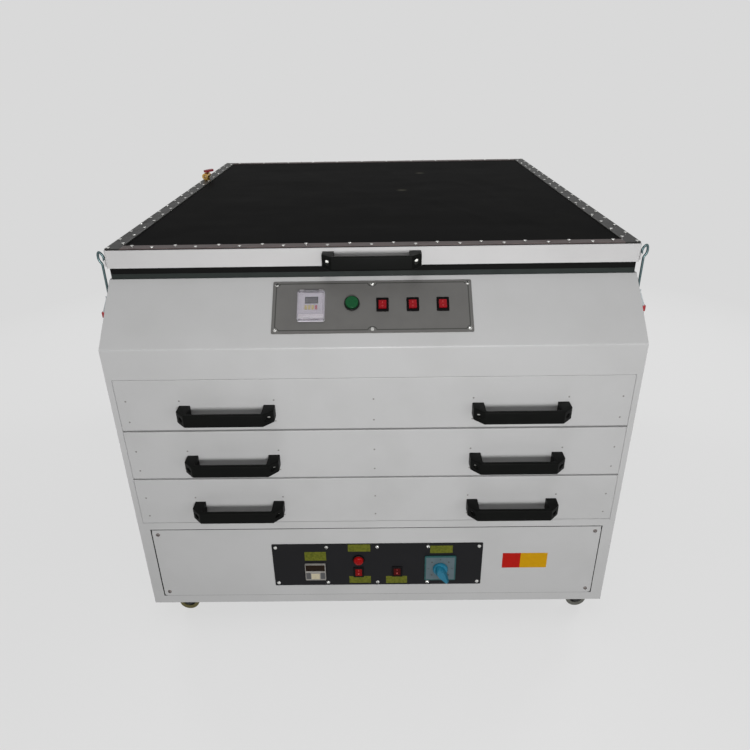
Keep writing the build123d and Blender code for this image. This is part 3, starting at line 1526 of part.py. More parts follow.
def caster_fork(trail, swivels):
    """A fork standing over the origin, with its wheel's axle along X and trailing towards -Y."""
    with BuildPart() as fork:
        with BuildSketch(Plane.XY.offset(crown_low)):
            Circle(race_radius)
        extrude(amount=crown_height if swivels else base_z - crown_low)
        for low in (-leg_inner - fork_leg, leg_inner):
            with BuildSketch(Plane.YZ.offset(low)):
                with Locations((-trail, wheel_radius)):
                    Circle(fork_foot)
                with Locations((0, crown_low + crown_height / 2)):
                    Rectangle(fork_width, crown_height)
                make_hull()
            extrude(amount=fork_leg)
        with BuildSketch(Plane.YZ.offset(-fork_span / 2)):
            with Locations((-trail, wheel_radius)):
                Circle(axle_radius)
        extrude(amount=fork_span)
        if swivels:
            with BuildSketch(Plane.XY.offset(crown_low)):
                Circle(kingpin_radius + running_clearance)
            extrude(amount=crown_height, mode=Mode.SUBTRACT)
        else:
            block(
                (-caster_plate / 2, -caster_plate / 2, base_z - caster_plate_thickness),
                (caster_plate / 2, caster_plate / 2, base_z),
            )
    return fork.part


with BuildPart() as wheel_blank:
    with BuildSketch(Plane.YZ.offset(-wheel_width / 2)):
        Circle(wheel_radius)
        Circle(axle_radius + running_clearance, mode=Mode.SUBTRACT)
    extrude(amount=wheel_width)
    rims = wheel_blank.edges().filter_by(GeomType.CIRCLE)
    fillet(rims.filter_by(lambda e: e.radius > axle_radius + wheel_rounding), wheel_rounding)

# Both front casters have swung round to roll sideways.
caster_spots = {
    "front_left": Location((-caster_x, front_caster_y, 0), (0, 0, 90)),
    "front_right": Location((caster_x, front_caster_y, 0), (0, 0, 90)),
    "rear_left": Location((-caster_x, rear_caster_y, 0)),
    "rear_right": Location((caster_x, rear_caster_y, 0)),
}

with BuildPart() as caster_mountings:
    with Locations((-caster_x, front_caster_y, 0), (caster_x, front_caster_y, 0)):
        with Locations((0, 0, base_z - caster_plate_thickness)):
            Box(caster_plate, caster_plate, caster_plate_thickness, align=(Align.CENTER, Align.CENTER, Align.MIN))
        with Locations((0, 0, race_low)):
            Cylinder(race_radius, race_height, align=(Align.CENTER, Align.CENTER, Align.MIN))
        with Locations((0, 0, crown_low)):
            Cylinder(kingpin_radius, crown_height + crown_gap, align=(Align.CENTER, Align.CENTER, Align.MIN))
    with Locations(caster_spots["rear_left"], caster_spots["rear_right"]):
        add(caster_fork(0, False))
caster_mountings.part.label = "caster_mountings"
export_step(caster_mountings.part, "parts/caster_mountings.step")

for corner in ("front_left", "front_right"):
    with BuildPart() as swivel_fork:
        with Locations(caster_spots[corner]):
            add(caster_fork(fork_trail, True))
    swivel_fork.part.label = f"{corner}_caster_fork"
    export_step(swivel_fork.part, f"parts/{corner}_caster_fork.step")

for corner, spot in caster_spots.items():
    trail = fork_trail if corner.startswith("front") else 0
    with BuildPart() as caster_wheel:
        with Locations(spot * Location((0, -trail, wheel_radius))):
            add(wheel_blank.part)
    caster_wheel.part.label = f"{corner}_wheel"
    export_step(caster_wheel.part, f"parts/{corner}_wheel.step")
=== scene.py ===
# %% [markdown]
# # Dressing a screen exposure unit
#
# The machine is a vacuum table that hardens the emulsion on printing screens with ultraviolet light.
# A rubber blanket in a hinged lid presses the screen on a glass plate, and the drawers below dry wet
# screens in warm air. Every rigid piece already exists as a measured frame, so this script has three
# jobs: light it plainly, give each surface its real finish, and swap the plainest solids for pieces
# that carry the small forms you would notice with the machine in front of you.

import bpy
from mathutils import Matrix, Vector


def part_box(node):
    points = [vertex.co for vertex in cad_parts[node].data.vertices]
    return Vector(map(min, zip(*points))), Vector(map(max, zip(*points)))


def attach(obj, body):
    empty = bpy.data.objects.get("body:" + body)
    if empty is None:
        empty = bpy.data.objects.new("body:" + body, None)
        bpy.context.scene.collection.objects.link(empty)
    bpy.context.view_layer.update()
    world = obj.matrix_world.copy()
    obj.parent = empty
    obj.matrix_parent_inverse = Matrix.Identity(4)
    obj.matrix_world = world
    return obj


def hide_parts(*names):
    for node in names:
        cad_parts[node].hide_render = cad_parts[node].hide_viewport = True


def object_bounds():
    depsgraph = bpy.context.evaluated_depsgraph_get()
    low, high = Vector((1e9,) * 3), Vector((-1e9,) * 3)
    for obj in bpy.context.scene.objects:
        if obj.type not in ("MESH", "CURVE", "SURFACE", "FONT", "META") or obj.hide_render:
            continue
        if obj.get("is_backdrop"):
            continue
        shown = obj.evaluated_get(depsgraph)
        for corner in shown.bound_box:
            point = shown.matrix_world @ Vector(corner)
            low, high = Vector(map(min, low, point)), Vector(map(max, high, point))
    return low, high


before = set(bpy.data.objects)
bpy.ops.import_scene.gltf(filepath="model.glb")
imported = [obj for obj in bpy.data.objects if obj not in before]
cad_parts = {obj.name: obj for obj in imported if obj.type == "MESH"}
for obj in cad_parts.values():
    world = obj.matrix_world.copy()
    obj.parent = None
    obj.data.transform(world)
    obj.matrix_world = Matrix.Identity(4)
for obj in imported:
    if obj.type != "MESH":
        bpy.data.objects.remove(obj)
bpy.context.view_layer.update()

# %% Tools used all the way through
import math

import bmesh
import bpy
from mathutils import Matrix, Vector, noise

MM = 0.001


def mm(*values):
    """A point or a size written in millimetres, given back in Blender's metres."""
    return Vector(values) * MM


def add_object(name, data):
    """A new object, linked to the scene."""
    thing = bpy.data.objects.new(name, data)
    bpy.context.scene.collection.objects.link(thing)
    return thing


# %% [markdown]
# ## The camera
#
# The camera is made first, so that every later choice can be judged in the final frame. A person
# stands in front of the machine and looks down on it, so the lens sits 1.27 m above the floor and is
# pitched 26 degrees down. The tiny yaw and roll are those of a hand-held camera. The rotation is
# built from three directions, which are easier to check than Euler angles.

# %% Place the camera
LENS_MM, SENSOR_MM = 30.61, 36.0
CAMERA_PLACE = Vector((0.0162, -1.8087, 1.2733))
PITCH, YAW, ROLL = math.radians(26.433), math.radians(-0.603), math.radians(-0.937)

ahead = Vector((math.sin(YAW) * math.cos(PITCH), math.cos(YAW) * math.cos(PITCH), -math.sin(PITCH)))
level = Vector((math.cos(YAW), -math.sin(YAW), 0.0))
upward = level.cross(ahead)
right = math.cos(ROLL) * level + math.sin(ROLL) * upward
up = math.cos(ROLL) * upward - math.sin(ROLL) * level

lens = bpy.data.cameras.new("viewer_lens")
lens.lens = LENS_MM
lens.sensor_width = SENSOR_MM
lens.clip_start = 0.05
viewer = add_object("viewer", lens)
viewer.matrix_world = Matrix.Translation(CAMERA_PLACE) @ Matrix((right, up, -ahead)).transposed().to_4x4()
bpy.context.scene.camera = viewer
print("camera at", [round(v, 3) for v in viewer.location], "m")

# %% [markdown]
# ## Colours and shader nodes
#
# Colours are easiest to read as the hex codes of a screen, but a renderer adds light together, which
# only works on linear values. One function does that change. A second small function adds a shader
# node, sets its options and links its inputs, so that a finish reads as a short recipe.


# %% Helpers for finishes
def srgb(code, alpha=1.0):
    """The linear colour of a hex code such as C8C8C6."""
    parts = [int(code[i : i + 2], 16) / 255 for i in (0, 2, 4)]
    return tuple(p / 12.92 if p <= 0.04045 else ((p + 0.055) / 1.055) ** 2.4 for p in parts) + (alpha,)


def add_node(tree, kind, inputs=None, **options):
    """Adds one shader node, sets its options, and fills or links its inputs."""
    node = tree.nodes.new(kind)
    for option, value in options.items():
        setattr(node, option, value)
    for socket, value in (inputs or {}).items():
        if isinstance(value, bpy.types.NodeSocket):
            tree.links.new(value, node.inputs[socket])
        else:
            node.inputs[socket].default_value = value
    return node


def start_finish(name):
    """A material with one principled shader, and the socket with each point's place on the piece."""
    material = bpy.data.materials.new(name)
    material.use_nodes = True
    tree = material.node_tree
    tree.nodes.clear()
    shader = add_node(tree, "ShaderNodeBsdfPrincipled")
    add_node(tree, "ShaderNodeOutputMaterial", {"Surface": shader.outputs["BSDF"]})
    place = add_node(tree, "ShaderNodeTexCoord").outputs["Object"]
    return material, tree, shader, place


def per_metre(size_mm):
    """The scale of a texture whose features are this many millimetres across."""
    return 1.0 / (size_mm * MM)


print("white in linear light:", [round(c, 3) for c in srgb("FFFFFF")])

# %% [markdown]
# ## Two ways most of these surfaces are made
#
# Nearly all the finishes here are one of two kinds: a paint or plastic skin, whose colour drifts a
# little and whose surface has a fine grain, or a bare metal, whose brightness comes from reflection.
# Both share the same anatomy, so the recipe is written once: a slow drift of colour, a fine grain for
# the bump, and a roughness that varies with handling. Each real finish then gives its own numbers.


# %% The shared recipe of a surface
def surface(name, colour, worn, rough, drift_mm, grain_mm, grain_height_mm, metal=0.0, gloss=0.5, share=0.35):
    """A finish that drifts from colour to worn, with a fine grain of that width and height."""
    material, tree, shader, place = start_finish(name)
    slow = {"Vector": place, "Scale": per_metre(drift_mm), "Detail": 5.0}
    drift = add_node(tree, "ShaderNodeTexNoise", slow).outputs["Fac"]
    reach = {"Value": drift, "From Min": 0.42, "From Max": 0.72, "To Min": 0.0, "To Max": share}
    marks = add_node(tree, "ShaderNodeMapRange", reach).outputs["Result"]
    colours = {"Factor": marks, 6: srgb(colour), 7: srgb(worn)}
    tone = add_node(tree, "ShaderNodeMix", colours, data_type="RGBA")
    fine = {"Vector": place, "Scale": per_metre(grain_mm), "Detail": 3.0}
    grain = add_node(tree, "ShaderNodeTexNoise", fine).outputs["Fac"]
    dimples = {"Height": grain, "Strength": 0.6, "Distance": grain_height_mm * MM}
    relief = add_node(tree, "ShaderNodeBump", dimples)
    handled = {"From Min": 0.3, "From Max": 0.7, "To Min": rough - 0.05, "To Max": rough + 0.06}
    polish = add_node(tree, "ShaderNodeMapRange", {"Value": drift, **handled})
    tree.links.new(tone.outputs[2], shader.inputs["Base Color"])
    tree.links.new(relief.outputs["Normal"], shader.inputs["Normal"])
    tree.links.new(polish.outputs["Result"], shader.inputs["Roughness"])
    shader.inputs["Metallic"].default_value = metal
    if not metal:
        shader.inputs["Specular IOR Level"].default_value = gloss
    return material


print("a 2 mm grain is drawn at scale", per_metre(2.0))

# %% [markdown]
# ## Powder coat on sheet steel
#
# The casing is folded from 1.5 mm sheet and powder coated: dry paint is baked on, which leaves a
# satin skin with the soft dimples called orange peel. The dimples are about a millimetre wide, finer
# than a pixel here, so they are drawn 3 mm wide to be seen at all. Handling leaves it faintly grey.

# %% Powder-coated finishes
casing_coat = surface("white_powder_coat", "C6C6C6", "B6B6B5", 0.42, 160, 3.0, 0.05)
drawer_coat = surface("white_powder_coat_drawers", "C5C5C5", "B3B3B2", 0.42, 120, 3.0, 0.05)
# Painted light: the lid has the same white coat, drawn lighter so its front shows the extra light that falls on
# it.
lid_coat_painted_lighter = surface("white_powder_coat_lid_painted_light", "D3D2D2", "C4C3C3", 0.42, 140, 3.0, 0.05)
frame_paint = surface("grey_frame_enamel", "7F8284", "5F6163", 0.5, 60, 3.0, 0.06)
tray_coat = surface("tray_powder_coat", "B9B8B4", "9A9893", 0.48, 70, 3.0, 0.06)

# %% [markdown]
# ## Bare and plated metals
#
# A metal has no colour of its own under the skin: what you see is a tinted reflection, so its base
# colour is bright and the roughness does the rest. Zinc plating is dull and slightly cloudy, the
# reflector is nearly a mirror, and turned brass is warm and bright.

# %% Metal finishes
zinc_plate = surface("zinc_plated_steel", "B7BCBE", "8D9597", 0.38, 9, 1.2, 0.05, metal=1.0)
galvanised = surface("galvanised_sheet", "AEB3B5", "858B8E", 0.42, 14, 5.0, 0.04, metal=1.0)
screw_steel = surface("nickel_plated_screw", "D5D5D2", "A5A5A2", 0.26, 3, 0.8, 0.02, metal=1.0)
cap_screw_zinc = surface("zinc_plated_cap_screw", "E2E2DE", "BDBDB8", 0.55, 5, 0.8, 0.03, metal=1.0)
reflector = surface("bright_reflector_aluminium", "D9DCDF", "B9BDC1", 0.18, 80, 6.0, 0.03, metal=1.0)
brass = surface("turned_brass", "D0A85A", "9A7232", 0.28, 8, 1.0, 0.03, metal=1.0)
fan_metal = surface("cast_fan_aluminium", "8D8F91", "66686A", 0.45, 20, 1.5, 0.08, metal=1.0)
side_bar = surface("dark_painted_bar", "222221", "363533", 0.5, 22, 1.4, 0.05, gloss=0.3, share=0.8)
end_bar = surface("brown_painted_bar", "4A3F3E", "655856", 0.5, 30, 1.4, 0.05, gloss=0.4, share=0.8)
# Partly painted highlight: the pale bar edge stands for bare worn steel and for light along the arrises.
bar_edge = surface("worn_and_painted_highlight_bar_edge", "77706D", "8F8884", 0.4, 9, 1.0, 0.04, metal=0.6)

# %% [markdown]
# ## Rubber, plastics and enamels
#
# Rubber scatters what little light it reflects, so it is rough and has a low specular level.
# Moulded plastics are smoother, with a spark-eroded grain well under a millimetre, drawn at 1 mm.

# %% Rubber and plastic finishes
seal_rubber = surface("seal_rubber", "0E0E0E", "171716", 0.75, 30, 1.5, 0.08, gloss=0.1)
rim_trim = surface("glass_rim_trim", "252B29", "1B1F1E", 0.55, 40, 1.5, 0.05, gloss=0.2)
handle_nylon = surface("black_glass_filled_nylon", "0A0B0A", "121311", 0.5, 18, 1.0, 0.06, gloss=0.07)
console_lacquer = surface("grey_console_lacquer", "6A6967", "5E5D5B", 0.46, 45, 1.4, 0.03, gloss=0.35)
plate_lacquer = surface("black_plate_lacquer", "1A1A1C", "212123", 0.5, 60, 1.4, 0.03, gloss=0.11)
device_black = surface("black_moulded_abs", "080607", "100E0E", 0.45, 12, 0.9, 0.03, gloss=0.08)
# Painted highlight: this bright ledge stands for the light on the clear hood's lower lip.
hood_lip_highlight = surface("painted_highlight_hood_lip", "E4E0DE", "D6D2D0", 0.4, 12, 0.9, 0.02)
timer_white = surface("white_moulded_abs", "CCC8CB", "B9B4B8", 0.4, 12, 0.9, 0.02)
controller_grey = surface("grey_moulded_abs", "96938E", "7B7874", 0.45, 10, 0.9, 0.02)
block_beige = surface("beige_key_block", "C9BFA4", "A79D82", 0.45, 5, 0.8, 0.02)
key_yellow = surface("yellow_key", "CDBB6A", "B5A352", 0.4, 4, 0.8, 0.02)
key_red = surface("red_key", "C4616A", "A84750", 0.4, 4, 0.8, 0.02)
rocker_red = surface("red_rocker_polycarbonate", "9C1A22", "84141B", 0.25, 7, 1.0, 0.01, gloss=0.15)
rocker_deep = surface("deep_red_rocker_polycarbonate", "801010", "6A0C0C", 0.25, 7, 1.0, 0.01, gloss=0.1)
rocker_wine = surface("wine_red_rocker_polycarbonate", "4A0C0B", "3A0808", 0.25, 7, 1.0, 0.01, gloss=0.08)
rocker_mark = surface("pale_red_switch_print", "C04A46", "AC3E3A", 0.5, 3, 0.8, 0.01)
button_green = surface("green_button_cap", "0C4F2A", "084020", 0.3, 9, 1.0, 0.02, gloss=0.2)
button_ring = surface("dark_button_ring", "171A18", "232725", 0.35, 6, 0.8, 0.02, gloss=0.2)
lamp_red = surface("red_lamp_lens", "980404", "740202", 0.22, 6, 1.0, 0.02, gloss=0.12)
knob_blue = surface("blue_knob", "12708C", "0A5570", 0.35, 12, 0.9, 0.02)
isolator_grey = surface("grey_isolator_face", "55656B", "4A585D", 0.45, 12, 0.9, 0.02)
isolator_teal = surface("teal_isolator_border", "104C4C", "0C3C40", 0.45, 12, 0.9, 0.02)
lever_red = surface("red_valve_lever", "8E1F2C", "6E1822", 0.4, 10, 0.9, 0.02)
grip_red = surface("red_dipped_grip", "A81C22", "84161B", 0.4, 10, 0.9, 0.02)
label_olive = surface("olive_label_film", "686C22", "4A5018", 0.55, 5, 0.8, 0.01, gloss=0.15, share=0.9)
label_red = surface("red_label_film", "B4180F", "9E140C", 0.5, 9, 0.8, 0.01, gloss=0.15)
label_yellow = surface("yellow_label_film", "CE9A0A", "BC8A08", 0.5, 9, 0.8, 0.01, gloss=0.15)
print_dark = surface("dark_panel_print", "3C3C3A", "46463F", 0.55, 6, 0.8, 0.01)
wheel_nylon = surface("black_wheel_nylon", "141413", "26251F", 0.6, 12, 1.2, 0.08, gloss=0.2)
wheel_olive = surface("olive_wheel_tread", "6B6440", "47432C", 0.6, 9, 1.2, 0.08, gloss=0.3)
wheel_grey = surface("grey_wheel_tread", "6E6E68", "525049", 0.6, 9, 1.2, 0.08, gloss=0.3)
# The caster forks and mountings are drawn near black.
fork_black = surface("near_black_fork_steel", "1A1A1A", "2B2B29", 0.45, 14, 1.0, 0.05, gloss=0.35)
# Painted shadow: a black band round the hatch stands for the shade in the gap where it sits.
hatch_shadow_black = surface("painted_hatch_gap_shadow", "1B1B1B", "2A2A29", 0.85, 6, 1.0, 0.1, gloss=0.05)
# Painted shade: the rivets' grey stands for the shade in their small hollows.
rivet_painted_shade = surface("rivet_hollow_painted_shade", "8C8B88", "7A7976", 0.5, 3, 0.8, 0.02)
hook_steel = surface("blued_spring_steel", "56696B", "33474A", 0.32, 8, 1.0, 0.03, metal=0.8)
digit_grey = surface("display_digit", "4A4850", "3E3C44", 0.4, 3, 0.8, 0.01)
controller_dark = surface("dark_controller_key", "4A4A4C", "5A5A5C", 0.4, 5, 0.8, 0.02)
holder_white = surface("white_lampholder", "D9D8D2", "C6C5BF", 0.45, 10, 0.9, 0.02)
pump_enamel = surface("blue_grey_pump_enamel", "4E5C68", "3C4750", 0.4, 30, 1.5, 0.06)
ballast_enamel = surface("white_ballast_enamel", "D5D4CF", "C0BFB9", 0.45, 40, 1.5, 0.04)
gland_black = surface("black_gland_nylon", "1B1B1C", "28282A", 0.45, 8, 0.9, 0.03, gloss=0.4)
lamp_phosphor = surface("white_lamp_phosphor", "E7EAF2", "DADFEA", 0.2, 60, 4.0, 0.01)
display_dark = surface("dark_display_window", "101013", "18181C", 0.3, 10, 2.0, 0.005, gloss=0.1)
display_wine = surface("dark_red_display_window", "1E1208", "281A0C", 0.3, 10, 2.0, 0.005, gloss=0.1)

# %% [markdown]
# ## Glass and clear plastic
#
# Clear parts are shaded by transmission, with a whole wall of thickness so that both faces bend the
# light. Float glass is faintly green because of the iron in it. The hood over the timer is clear
# polycarbonate that has picked up fine scratches, so its roughness is a little above zero.


# %% Clear finishes
def clear(name, tint, ior, rough, scratch_mm, gloss=0.5):
    """A clear finish, with a roughness that a fine noise of scratches raises here and there."""
    material, tree, shader, place = start_finish(name)
    fine = {"Vector": place, "Scale": per_metre(scratch_mm), "Detail": 4.0}
    scratch = add_node(tree, "ShaderNodeTexNoise", fine).outputs["Fac"]
    reach = {"Value": scratch, "From Min": 0.4, "From Max": 0.7, "To Min": rough, "To Max": rough + 0.02}
    polish = add_node(tree, "ShaderNodeMapRange", reach)
    tree.links.new(polish.outputs["Result"], shader.inputs["Roughness"])
    shader.inputs["Base Color"].default_value = srgb(tint)
    shader.inputs["IOR"].default_value = ior
    shader.inputs["Specular IOR Level"].default_value = gloss
    shader.inputs["Transmission Weight"].default_value = 1.0
    return material


float_glass = clear("green_float_glass", "E4F0EA", 1.52, 0.0, 40)
clear_hood = clear("clear_polycarbonate", "F0EEF4", 1.585, 0.0, 6, gloss=0.2)

# %% [markdown]
# ## Dressing the frame's own nodes
#
# Many solids already have the right shape, such as the folded sheets and the tubes. They keep their
# meshes and only get their finish, which is written into every material slot they came with.

# %% Give finishes to the nodes that stay
FINISH_OF = {
    casing_coat: ["casing_panels", "base_pan", "front_cover", "access_panel"],
    drawer_coat: ["drawer_1_front", "drawer_2_front", "drawer_3_front"],
    lid_coat_painted_lighter: ["lid_frame"],
    frame_paint: ["cabinet_frame"],
    tray_coat: ["drawer_1_tray", "drawer_2_tray", "drawer_3_tray"],
    galvanised: ["chamber_liner"],
    fork_black: ["caster_mountings", "front_left_caster_fork", "front_right_caster_fork"],
    zinc_plate: ["cabinet_lid_brackets", "lid_hinge_leaves", "left_latch_lever", "right_latch_lever"],
    hook_steel: ["left_latch_hook", "right_latch_hook"],
    seal_rubber: ["lid_seal"],
    rim_trim: ["glass_rim"],
    float_glass: ["exposure_glass"],
    lamp_phosphor: ["uv_tubes"],
    screw_steel: ["clamp_screws"],
    console_lacquer: ["control_panel"],
    plate_lacquer: ["dryer_plate"],
    clear_hood: ["timer_hood"],
    brass: ["valve_body"],
    lever_red: ["valve_lever"],
    pump_enamel: ["vacuum_pump"],
    ballast_enamel: ["ballasts"],
    fan_metal: ["hot_air_unit", "fan_impeller"],
    gland_black: ["cable_gland"],
}


def dress(piece, finish):
    """Puts one finish in all the material slots of a piece."""
    if not piece.data.materials:
        piece.data.materials.append(finish)
    for slot in piece.material_slots:
        slot.material = finish


for finish, nodes in FINISH_OF.items():
    for name in nodes:
        dress(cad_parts[name], finish)
print("nodes dressed:", sum(len(nodes) for nodes in FINISH_OF.values()))

# %% [markdown]
# ## Making pieces
#
# A new piece is shaped in a bmesh, in metres and already in its place, and then handed to a body of
# the frame, so that it moves with it. Some nodes hold several real parts in one mesh, such as a
# handle and its screws. Those are copied, and only the solids that pass a test stay, so that each
# real part can have its own finish.


# %% Helpers for pieces
def make_piece(name, shape, body, finish, smooth_deg=35.0):
    """Turns a bmesh into a piece that rides on a body."""
    mesh = bpy.data.meshes.new(name)
    shape.to_mesh(mesh)
    shape.free()
    mesh.shade_smooth()
    mesh.set_sharp_from_angle(angle=math.radians(smooth_deg))
    mesh.materials.append(finish)
    piece = add_object(name, mesh)
    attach(piece, body)
    return piece


def islands(shape):
    """The separate solids of a shape, each as its points, its middle and its size."""
    unseen = set(shape.verts)
    found = []
    while unseen:
        island, growing = set(), [next(iter(unseen))]
        while growing:
            vert = growing.pop()
            if vert not in island:
                island.add(vert)
                growing.extend(edge.other_vert(vert) for edge in vert.link_edges)
        unseen -= island
        spans = [(min(v.co[i] for v in island), max(v.co[i] for v in island)) for i in range(3)]
        middle, size = (Vector(part) for part in zip(*(((a + b) / 2, b - a) for a, b in spans)))
        found.append((island, middle, size))
    return found


def solids_of(node, keep=None):
    """A merged copy of a node, or of those of its solids whose middle and size pass a test."""
    shape = bmesh.new()
    shape.from_mesh(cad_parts[node].data)
    bmesh.ops.remove_doubles(shape, verts=shape.verts, dist=1e-6)
    if keep:
        dropped = [vert for island, middle, size in islands(shape) if not keep(middle, size) for vert in island]
        bmesh.ops.delete(shape, geom=dropped, context="VERTS")
    return shape


def round_edges(shape, edges, radius_mm, segments):
    """Rounds edges of a shape to a radius."""
    bmesh.ops.bevel(
        shape,
        geom=edges,
        offset=radius_mm * MM,
        offset_type="OFFSET",
        segments=segments,
        profile=0.5,
        affect="EDGES",
        clamp_overlap=True,
        material=-1,
    )
    return shape


def soften(shape, radius_mm, segments=2, sharp_deg=40.0):
    """Joins the flat triangles of a shape and rounds its sharp edges."""
    bmesh.ops.dissolve_limit(shape, angle_limit=math.radians(0.5), verts=shape.verts, edges=shape.edges)
    sharp = [e for e in shape.edges if e.is_manifold and e.calc_face_angle() > math.radians(sharp_deg)]
    return round_edges(shape, sharp, radius_mm, segments)


print("handle mesh:", len(solids_of("lid_handle").verts), "points")

# %% [markdown]
# ## Places on the two plates
#
# Most of the small pieces sit on one of two faces: the console, which leans back on the slope, or the
# upright front. Each face gets a function that turns two lengths along the face and a height above it
# into a place. The other functions make what stands on them: a slab, which is an outline extruded to
# a height, a turned piece, which is a profile spun round an axis square to the face, and a strip,
# which is a closed line of an even width. The named heights are those of the plates over the sheet.

# %% Helpers for panel pieces
FRONT_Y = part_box("front_cover")[0].y
SLOPE_FOOT_Z = 756 * MM
CONSOLE_FACE, LOWER_PLATE_FACE, HATCH_FACE, INK = 2.0, 3.5, 1.5, 0.08
ALONG, UPWARD, OUTWARD = Vector((1, 0, 0)), Vector((0, 0.72856, 0.68497)), Vector((0, -0.68497, 0.72856))


def on_slope(x, up_mm, out_mm=0.0):
    """A place on the slope: across, up along it from its foot, and square out of it."""
    return Vector((x * MM, FRONT_Y, SLOPE_FOOT_Z)) + (UPWARD * up_mm + OUTWARD * out_mm) * MM


def on_front(x, z, out_mm=0.0):
    """A place on the upright front: across, height over the floor, and out towards the viewer."""
    return Vector((x * MM, FRONT_Y - out_mm * MM, z * MM))


def lift(shape, faces, face, low, high):
    """Extrudes faces square to a face, from one height above it to another, and gives back the top."""
    grown = bmesh.ops.extrude_face_region(shape, geom=faces, use_keep_orig=True)
    top = [part for part in grown["geom"] if isinstance(part, bmesh.types.BMVert)]
    bmesh.ops.translate(shape, verts=top, vec=face(0, 0, high) - face(0, 0, low))
    bmesh.ops.recalc_face_normals(shape, faces=shape.faces)
    return top


def slab(shape, face, outline, low, high):
    """Adds an outline on a face, extruded from one height above it to another."""
    base = shape.faces.new([shape.verts.new(face(u, v, low)) for u, v in outline])
    return lift(shape, [base], face, low, high)


def turned(shape, face, u, v, profile, steps=24):
    """Adds a profile of radii and heights, spun round an axis square to a face."""
    verts = [shape.verts.new(face(u + radius, v, height)) for radius, height in profile]
    edges = [shape.edges.new(pair) for pair in zip(verts, verts[1:])]
    axis, middle = (face(0, 0, 1) - face(0, 0, 0)).normalized(), face(u, v, 0)
    bmesh.ops.spin(
        shape, geom=verts + edges, cent=middle, axis=axis, angle=2 * math.pi, steps=steps, use_merge=True
    )
    bmesh.ops.remove_doubles(shape, verts=shape.verts, dist=1e-6)
    bmesh.ops.recalc_face_normals(shape, faces=shape.faces)


def oblong(u0, v0, u1, v1):
    """The four corners of an upright rectangle."""
    return [(u0, v0), (u1, v0), (u1, v1), (u0, v1)]


def strip(shape, face, path, width, low, high):
    """Adds a closed line of a given width: an outline inset by the width, emptied and extruded."""
    base = shape.faces.new([shape.verts.new(face(u, v, low)) for u, v in path])
    shape.normal_update()
    inset = bmesh.ops.inset_region(
        shape, faces=[base], thickness=width * MM, use_even_offset=True, use_boundary=True
    )
    bmesh.ops.delete(shape, geom=[base], context="FACES_ONLY")
    lift(shape, inset["faces"], face, low, high)


def slab_piece(name, face, outlines, low, high, finish):
    """Makes one piece of the cabinet from slabs that all stand between the same two heights."""
    shape = bmesh.new()
    for outline in outlines:
        slab(shape, face, outline, low, high)
    make_piece(name, shape, "cabinet", finish)


print("front face at", round(FRONT_Y / MM, 1), "mm")

# %% [markdown]
# ## Handles
#
# Seven identical bridge handles are moulded in black nylon, and each is held by two socket screws
# sunk in its sloping ends. The mould leaves two millimetres of rounding on every edge, which is what
# catches the light. The screws are steel, so they become pieces of their own.

# %% Split the handles from their screws
HANDLES = {"lid_handle": "lid"} | {f"drawer_{row}_handles": f"drawer_{row}" for row in (1, 2, 3)}
for node, body in HANDLES.items():
    grips = soften(solids_of(node, lambda middle, size: size.x > 100 * MM), 1.8, 3)
    grip = make_piece(node + "_grips", grips, body, handle_nylon)
    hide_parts(node)
    steel = solids_of(node, lambda middle, size: size.x < 100 * MM)
    make_piece(node + "_screws", steel, body, cap_screw_zinc)
print("handles:", len(HANDLES))

# %% [markdown]
# ## Rivets on the drawer fronts
#
# The drawer fronts are held to their trays by small blind rivets that were painted over, so only
# their round rims show. Four stand round each handle, two at the middle of each drawer and two at
# each end. A low dome is enough for each, and all of one drawer are one piece. The domes are grey,
# darker than the coat: painted shade that stands for the shade in each rivet's small hollow.

# %% Set the rivets
RIVET_RADIUS, RIVET_RISE = 2.1, 0.7
RIVET_PROFILE = [(0, RIVET_RISE), (RIVET_RADIUS * 0.6, RIVET_RISE * 0.8), (RIVET_RADIUS, 0), (0, 0)]
RIVET_OUT, RIVET_UP, END_RIVETS, HANDLE_HALF = 99.0, 25.0, 518.0, 101.0
rivets_made = 0
for row in (1, 2, 3):
    low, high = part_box(f"drawer_{row}_handles")
    level_z = (low.z + high.z) / 2 / MM
    handle_x = high.x / MM - HANDLE_HALF
    shape = bmesh.new()
    beside_handles = [side * handle_x + out for side in (-1, 1) for out in (-RIVET_OUT, RIVET_OUT)]
    for x in (-END_RIVETS, *beside_handles, 0.0, END_RIVETS):
        for rise in (-RIVET_UP, RIVET_UP):
            turned(shape, on_front, x, level_z + rise, RIVET_PROFILE, 10)
            rivets_made += 1
    make_piece(f"drawer_{row}_rivets", shape, f"drawer_{row}", rivet_painted_shade)
print("rivets:", rivets_made)

# %% [markdown]
# ## Gaps round the drawers and the hatch
#
# The drawers close against thin painted stops, so the gaps round them are shallow and read as grey
# lines: the ones at the sides and below are almost flush. Round the hatch a thin black strip is
# painted shadow: it stands for the shade in the gap where the hatch sits in the frame, widest at the sides.

